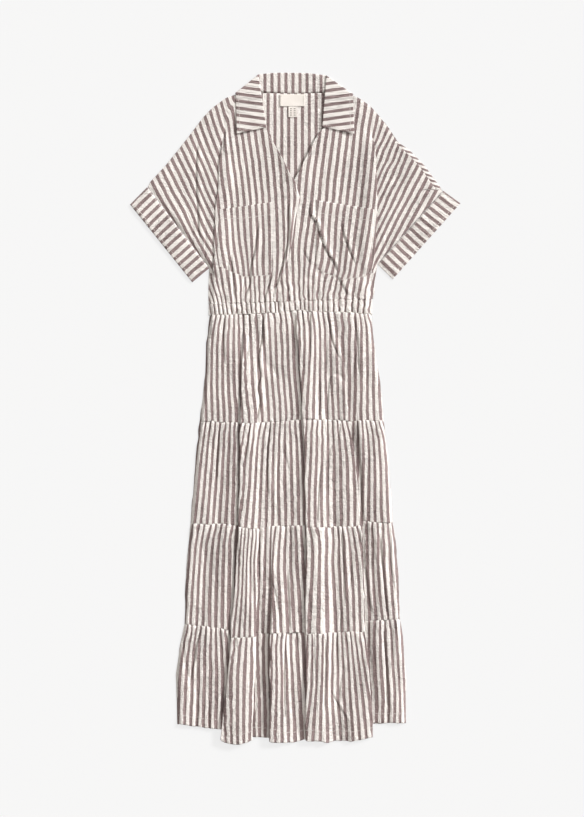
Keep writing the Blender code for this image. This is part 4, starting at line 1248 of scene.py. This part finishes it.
# Materials
CREAM = (0.90, 0.858, 0.82, 1)
# The darker cream of the random mottle, which the wrinkle lines also darken towards as painted shade
CREAM_SHADE = (0.76, 0.717, 0.68, 1)
BROWN = (0.185, 0.13, 0.125, 1)
BROWN_PALE = (0.36, 0.275, 0.27, 1)
MARK_GREY = (0.24, 0.21, 0.19, 1)
LABEL_CREAM = (0.83, 0.775, 0.72, 1)
THREAD_CREAM = (0.86, 0.82, 0.78, 1)
THREAD_SHADE = (0.62, 0.57, 0.53, 1)
ROUGHNESS, SHEEN, SHEEN_ROUGHNESS = 0.92, 0.12, 0.5
SOFT_EDGE = 0.018  # of a brown stripe, in pitches
FRAY = 0.12  # how far its edge wanders, in pitches
# Painted shade along the wrinkle lines, taken off the mottle, then the wrinkles' depth in the bump
WRINKLE_PAINTED_SHADE, WRINKLE_DEPTH = 0.8, 0.6
RIDGE_DEPTH, SLUB_DEPTH, WEAVE_DEPTH = 1.6, 0.75, 0.14
BUMP, LABEL_BUMP = 0.0016, 0.0003
# Cells to the metre, across the stripes and along them
FRAY_CELLS, MOTTLE_CELLS, CRINKLE_CELLS, RIDGE_CELLS = (900, 330), (700, 480), (420, 150), (90, 34)
WEAVE_CELLS, SLUB_CELLS, WRINKLE_CELLS, PATCH_CELLS = (1500, 1500), (110, 240), (70, 150), (17, 9)
RIB_CELLS, TWIST_CELLS = (300, 2600), (2600, 2600)


def tree_of(name):
    made = bpy.data.materials.new(name)
    made.use_nodes = True
    return made, made.node_tree


def put(tree, socket, value):
    """Sets a socket's number or colour, or links another node's output to it."""
    if isinstance(value, bpy.types.NodeSocket):
        tree.links.new(value, socket)
    else:
        socket.default_value = value


def add(tree, kind, *values, operation=None, **named):
    """A node with its inputs set, the first ones in their order and others by name."""
    node = tree.nodes.new("ShaderNode" + kind)
    if operation:
        node.operation = operation
    for socket, value in zip(node.inputs, values):
        put(tree, socket, value)
    for name, value in named.items():
        put(tree, node.inputs[name.replace("_", " ")], value)
    return node


def surface(tree, **looks):
    shader = tree.nodes["Principled BSDF"]
    for name, value in looks.items():
        put(tree, shader.inputs[name.replace("_", " ")], value)


def math_of(tree, operation, first, second=0.0, third=0.0):
    return add(tree, "Math", first, second, third, operation=operation).outputs[0]


def plus(tree, value, factor, rest):
    return math_of(tree, "MULTIPLY_ADD", value, factor, rest)


def from_middle(tree, value):
    """How far a value is from a half, on either side."""
    return math_of(tree, "ABSOLUTE", math_of(tree, "SUBTRACT", value, 0.5))


def noise(tree, vector, cells, detail=2.0):
    scaled = add(tree, "VectorMath", vector, (*cells, 1.0), operation="MULTIPLY").outputs[0]
    return add(tree, "TexNoise", Vector=scaled, Scale=1.0, Detail=detail).outputs["Fac"]


def mixed(tree, share, first, second):
    node = tree.nodes.new("ShaderNodeMix")
    node.data_type = "RGBA"
    for index, value in zip((0, 6, 7), (share, first, second)):
        put(tree, node.inputs[index], value)
    return node.outputs[2]


def ranged(tree, value, least, most, first=0.0, last=1.0, kind="LINEAR"):
    node = add(tree, "MapRange", Value=value, From_Min=least, From_Max=most, To_Min=first, To_Max=last)
    node.interpolation_type = kind
    return node.outputs[0]


def cloth_map(tree):
    node = add(tree, "UVMap")
    node.uv_map = UV
    return node.outputs[0]


def brown_stripes(tree, cloth):
    """1 on a brown stripe and 0 between, read from the stripe's number, with a frayed edge."""
    number = add(tree, "SeparateXYZ", Vector=cloth).outputs[0]
    fray = plus(tree, noise(tree, cloth, FRAY_CELLS), FRAY, (1 - FRAY) / 2)
    away = from_middle(tree, math_of(tree, "FRACT", plus(tree, number, 1000 / PITCH, fray)))
    half = BROWN_SHARE / 2
    return ranged(tree, away, half - SOFT_EDGE, half + SOFT_EDGE, 1.0, 0.0, "SMOOTHSTEP")


def wrinkle_lines(tree, cloth):
    """Thin wandering wrinkles across the stripes, in patches: 1 along each line and 0 between them. They
    sink the bump, and darken the colour there as painted shade.
    """
    away = from_middle(tree, noise(tree, cloth, WRINKLE_CELLS))
    patches = ranged(tree, noise(tree, cloth, PATCH_CELLS, 1.0), 0.42, 0.6)
    return math_of(tree, "MULTIPLY", ranged(tree, away, 0.006, 0.03, 1.0, 0.0), patches)


def crinkle(tree, cloth, wrinkles):
    """Height of the crinkled yarns, with slubs along them, wrinkles across them and a fine weave."""
    height = noise(tree, cloth, CRINKLE_CELLS, 3.0)
    height = plus(tree, from_middle(tree, noise(tree, cloth, RIDGE_CELLS)), -RIDGE_DEPTH, height)
    height = plus(tree, noise(tree, cloth, SLUB_CELLS, 3.0), SLUB_DEPTH, height)
    height = plus(tree, wrinkles, -WRINKLE_DEPTH, height)
    return plus(tree, noise(tree, cloth, WEAVE_CELLS, 1.0), WEAVE_DEPTH, height)


def striped_cotton():
    made, tree = tree_of("striped_cotton")
    cloth = cloth_map(tree)
    wrinkles = wrinkle_lines(tree, cloth)
    mottle_and_painted_shade = ranged(tree, noise(tree, cloth, MOTTLE_CELLS, 3.0), 0.34, 0.66)
    # Painted shade: along the wrinkle lines both stripes' colours darken towards their darker tones
    mottle_and_painted_shade = plus(tree, wrinkles, -WRINKLE_PAINTED_SHADE, mottle_and_painted_shade)
    brown, cream = mixed(tree, mottle_and_painted_shade, BROWN, BROWN_PALE), mixed(tree, mottle_and_painted_shade, CREAM_SHADE, CREAM)
    bump = add(tree, "Bump", Strength=1.0, Distance=BUMP, Height=crinkle(tree, cloth, wrinkles))
    surface(
        tree,
        Base_Color=mixed(tree, brown_stripes(tree, cloth), cream, brown),
        Normal=bump.outputs[0],
        Roughness=ROUGHNESS,
        Sheen_Weight=SHEEN,
        Sheen_Roughness=SHEEN_ROUGHNESS,
    )
    return made


def woven_label():
    made, tree = tree_of("label")
    ribs = noise(tree, cloth_map(tree), RIB_CELLS, 1.0)
    bump = add(tree, "Bump", Strength=0.5, Distance=LABEL_BUMP, Height=ribs)
    surface(tree, Base_Color=LABEL_CREAM, Roughness=0.6, Normal=bump.outputs[0])
    return made


def thread():
    made, tree = tree_of("thread")
    twist = noise(tree, add(tree, "TexCoord").outputs["Object"], TWIST_CELLS, 1.0)
    surface(tree, Base_Color=mixed(tree, twist, THREAD_SHADE, THREAD_CREAM), Roughness=0.7)
    return made


def mark_yarn():
    made, tree = tree_of("size_marks")
    surface(tree, Base_Color=MARK_GREY, Roughness=0.8)
    return made


# Meshes
def linked(name, mesh, material):
    mesh.materials.append(material)
    piece = bpy.data.objects.new(name, mesh)
    bpy.context.scene.collection.objects.link(piece)
    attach(piece, "root")
    return piece


def cells(rows, columns, tube):
    """Corners of each cell of a grid, as point numbers. A tube's last column joins its first."""
    index = np.arange(rows * columns).reshape(rows, columns)
    if tube:
        index = np.concatenate([index, index[:, :1]], axis=1)
    return np.stack([index[:-1, :-1], index[1:, :-1], index[1:, 1:], index[:-1, 1:]], axis=2).reshape(-1, 4)


def corner_numbers(name, numbers, corners):
    """Stripe numbers at each cell's corners. Where they jump, at a seam or a fold, the corners take the
    nearest of equal stripes."""
    turn = numbers.ravel()[corners]
    nearest = turn[:, :1] + (turn - turn[:, :1] + 0.5) % 1.0 - 0.5
    jump = FINE_JUMP if name in FINE_PIECES else COARSE_JUMP
    return np.where(np.ptp(turn, axis=1, keepdims=True) > jump, nearest, turn)


def grid_mesh(name, points, numbers, tube):
    corners = cells(*points.shape[:2], tube)
    mesh = bpy.data.meshes.new(name)
    mesh.vertices.add(points.shape[0] * points.shape[1])
    mesh.vertices.foreach_set("co", (points * MM).astype(np.float32).ravel())
    mesh.loops.add(corners.size)
    mesh.loops.foreach_set("vertex_index", corners.astype(np.int32).ravel())
    mesh.polygons.add(len(corners))
    mesh.polygons.foreach_set("loop_start", np.arange(0, corners.size, 4, dtype=np.int32))
    mesh.update(calc_edges=True)
    across, along = corner_numbers(name, numbers, corners) * PITCH, points[:, :, 1].ravel()[corners]
    places = np.stack([across, along], axis=2)
    layer = mesh.uv_layers.new(name=UV)
    layer.data.foreach_set("uv", (places * MM).astype(np.float32).ravel())
    mesh.validate()
    return mesh


def sheet(name, grid, material, wall=WALL, tube=False):
    """A thin closed shell on a grid of points, with the stripes' numbers as its UV map."""
    mesh = grid_mesh(name, *grid, tube)
    mesh.shade_smooth()
    piece = linked(name + "_cloth", mesh, material)
    shell = piece.modifiers.new("wall", "SOLIDIFY")
    shell.thickness = wall * MM
    shell.offset = 0.0
    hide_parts(name)
    return piece


def stitched_line(points, kind, share, start, end):
    """Plan points of a stitched line, evenly STITCH_STEP apart. Where a fold turns back it is skipped."""
    rows, columns = points.shape[:2]
    line = points[round(share * (rows - 1))] if kind == "row" else points[:, round(share * (columns - 1))]
    line = line[round(start * (len(line) - 1)) : round(end * (len(line) - 1)) + 1, :2]
    onward = (line - line[0]) @ (line[-1] - line[0])
    line = line[onward >= np.maximum.accumulate(onward)]
    travel = np.concatenate([[0], np.cumsum(np.hypot(*np.diff(line, axis=0).T))])
    steps = np.arange(STITCH_STEP, travel[-1], STITCH_STEP)
    return np.stack([np.interp(steps, travel, line[:, axis]) for axis in (0, 1)], axis=1)


def on_cloth(cloth, here, ahead):
    """(place, direction, normal) of a bar on the cloth's top at a plan point, on the way to the next."""
    above = 0.05
    place, normal, _, _ = cloth.ray_cast(Vector((*here * MM, above)), Vector((0, 0, -1)))
    if place is None:
        return None
    normal = normal if normal.z > 0 else -normal
    along = Vector((*(ahead - here), 0))
    along = (along - normal * along.dot(normal)).normalized()
    return place, along, normal


def bars(name, places, length, width, material):
    """One joined mesh of small bars that lie on the cloth."""
    corners = [(a, b, c) for a in (-1, 1) for b in (-1, 1) for c in (-0.3, 1)]
    sides = ((0, 1, 3, 2), (4, 6, 7, 5), (0, 4, 5, 1), (2, 3, 7, 6), (0, 2, 6, 4), (1, 5, 7, 3))
    points, faces = [], []
    for place, along, normal in places:
        across = normal.cross(along)
        at = len(points)
        for a, b, c in corners:
            offset = along * a * length / 2 + across * b * width / 2 + normal * c * min(width, THREAD) / 2
            points.append(place + offset * MM)
        faces += [tuple(at + corner for corner in side) for side in sides]
    mesh = bpy.data.meshes.new(name)
    mesh.from_pydata(points, [], faces)
    piece = linked(name, mesh, material)


def stitches(pieces, grids):
    graph = bpy.context.evaluated_depsgraph_get()
    places = []
    for name, lines in STITCH_LINES.items():
        cloth = BVHTree.FromObject(pieces[name], graph)
        for line in lines:
            path = stitched_line(grids[name][0], *line)
            places += [on_cloth(cloth, here, ahead) for here, ahead in zip(path[:-1], path[1:])]
    bars("stitches", filter(None, places), STITCH, THREAD, thread())


def size_marks(pieces):
    """Two columns of plain dashes, woven into the size tab."""
    cloth = BVHTree.FromObject(pieces["size_label"], bpy.context.evaluated_depsgraph_get())
    centre, top, width, length = LABELS["size_label"]
    places = []
    for column in MARK_COLUMNS:
        for row in MARK_ROWS:
            here = np.array([centre + column * width, top - row * length])
            places.append(on_cloth(cloth, here, here + (1, 0)))
    bars("size_marks", filter(None, places), MARK_LENGTH, MARK_WIDTH, mark_yarn())


def build():
    cotton, woven = striped_cotton(), woven_label()
    tiers = range(1, TIERS + 1)
    grids = {"back_bodice": back_bodice(), "front_right": front(-1), "front_left": front(1)}
    grids |= {"collar": collar(), "waistband": waistband()}
    grids |= {name: pocket(name) for name in POCKETS}
    grids |= {name: cuff(name) for name in CUFFS}
    grids |= {f"tier_{tier}_back": tier_back(tier) for tier in tiers}
    grids |= {f"tier_{tier}_front": tier_front(tier) for tier in tiers}
    tubes = ("waistband", *CUFFS)
    pieces = {name: sheet(name, grid, cotton, tube=name in tubes) for name, grid in grids.items()}
    for name in LABELS:
        grids[name] = label(name)
        pieces[name] = sheet(name, grids[name], woven, LABEL_WALL)
    stitches(pieces, grids)
    size_marks(pieces)


# Stage
FLOOR_GREY = (0.16, 0.16, 0.16, 1)
FLOOR_GLOW = 0.745  # a lit table, so that shadows on it stay faint
FLOOR_REACH = 40.0
WORLD_COLOUR = (1.0, 0.93, 0.86, 1)
WORLD_STRENGTH = 0.275
SUNS = (  # name | strength | angle it fills | tilt down | tilt right
    ("key", 3.38, 11, -31, 58),
    ("fill", 1.6, 110, -20, 34),
)
CAMERA_PLACE = (-0.0065, -0.0005, 3.2)
VIEW_HEIGHT = 1.634


def table():
    made, tree = tree_of("floor")
    surface(tree, Base_Color=FLOOR_GREY, Roughness=1.0, Specular_IOR_Level=0.0)
    surface(tree, Emission_Color=(1, 1, 1, 1), Emission_Strength=FLOOR_GLOW)
    mesh = bpy.data.meshes.new("floor")
    corners = [(a * FLOOR_REACH, b * FLOOR_REACH, 0) for a, b in ((-1, -1), (1, -1), (1, 1), (-1, 1))]
    mesh.from_pydata(corners, [], [(0, 1, 2, 3)])
    mesh.materials.append(made)
    return bpy.data.objects.new("floor", mesh)


def lamp(name, strength, angle, down, right):
    sun = bpy.data.lights.new(name, "SUN")
    sun.energy = strength
    sun.angle = math.radians(angle)
    made = bpy.data.objects.new(name, sun)
    made.rotation_euler = (math.radians(down), math.radians(right), 0)
    return made


def world():
    made = bpy.data.worlds.new("studio")
    made.use_nodes = True
    colour, strength = made.node_tree.nodes["Background"].inputs[:2]
    colour.default_value = WORLD_COLOUR
    strength.default_value = WORLD_STRENGTH
    return made


def camera():
    lens = bpy.data.cameras.new("camera")
    lens.lens = lens.sensor_width / 2 * CAMERA_PLACE[2] / (VIEW_HEIGHT / 2)
    eye = bpy.data.objects.new("camera", lens)
    eye.location = CAMERA_PLACE
    return eye


def stage():
    scene = bpy.context.scene
    staged = [table()] + [lamp(*values) for values in SUNS]
    eye = camera()
    for thing in (*staged, eye):
        scene.collection.objects.link(thing)
    scene.world = world()
    scene.camera = eye
    scene.view_settings.view_transform = "Standard"


stage()
build()
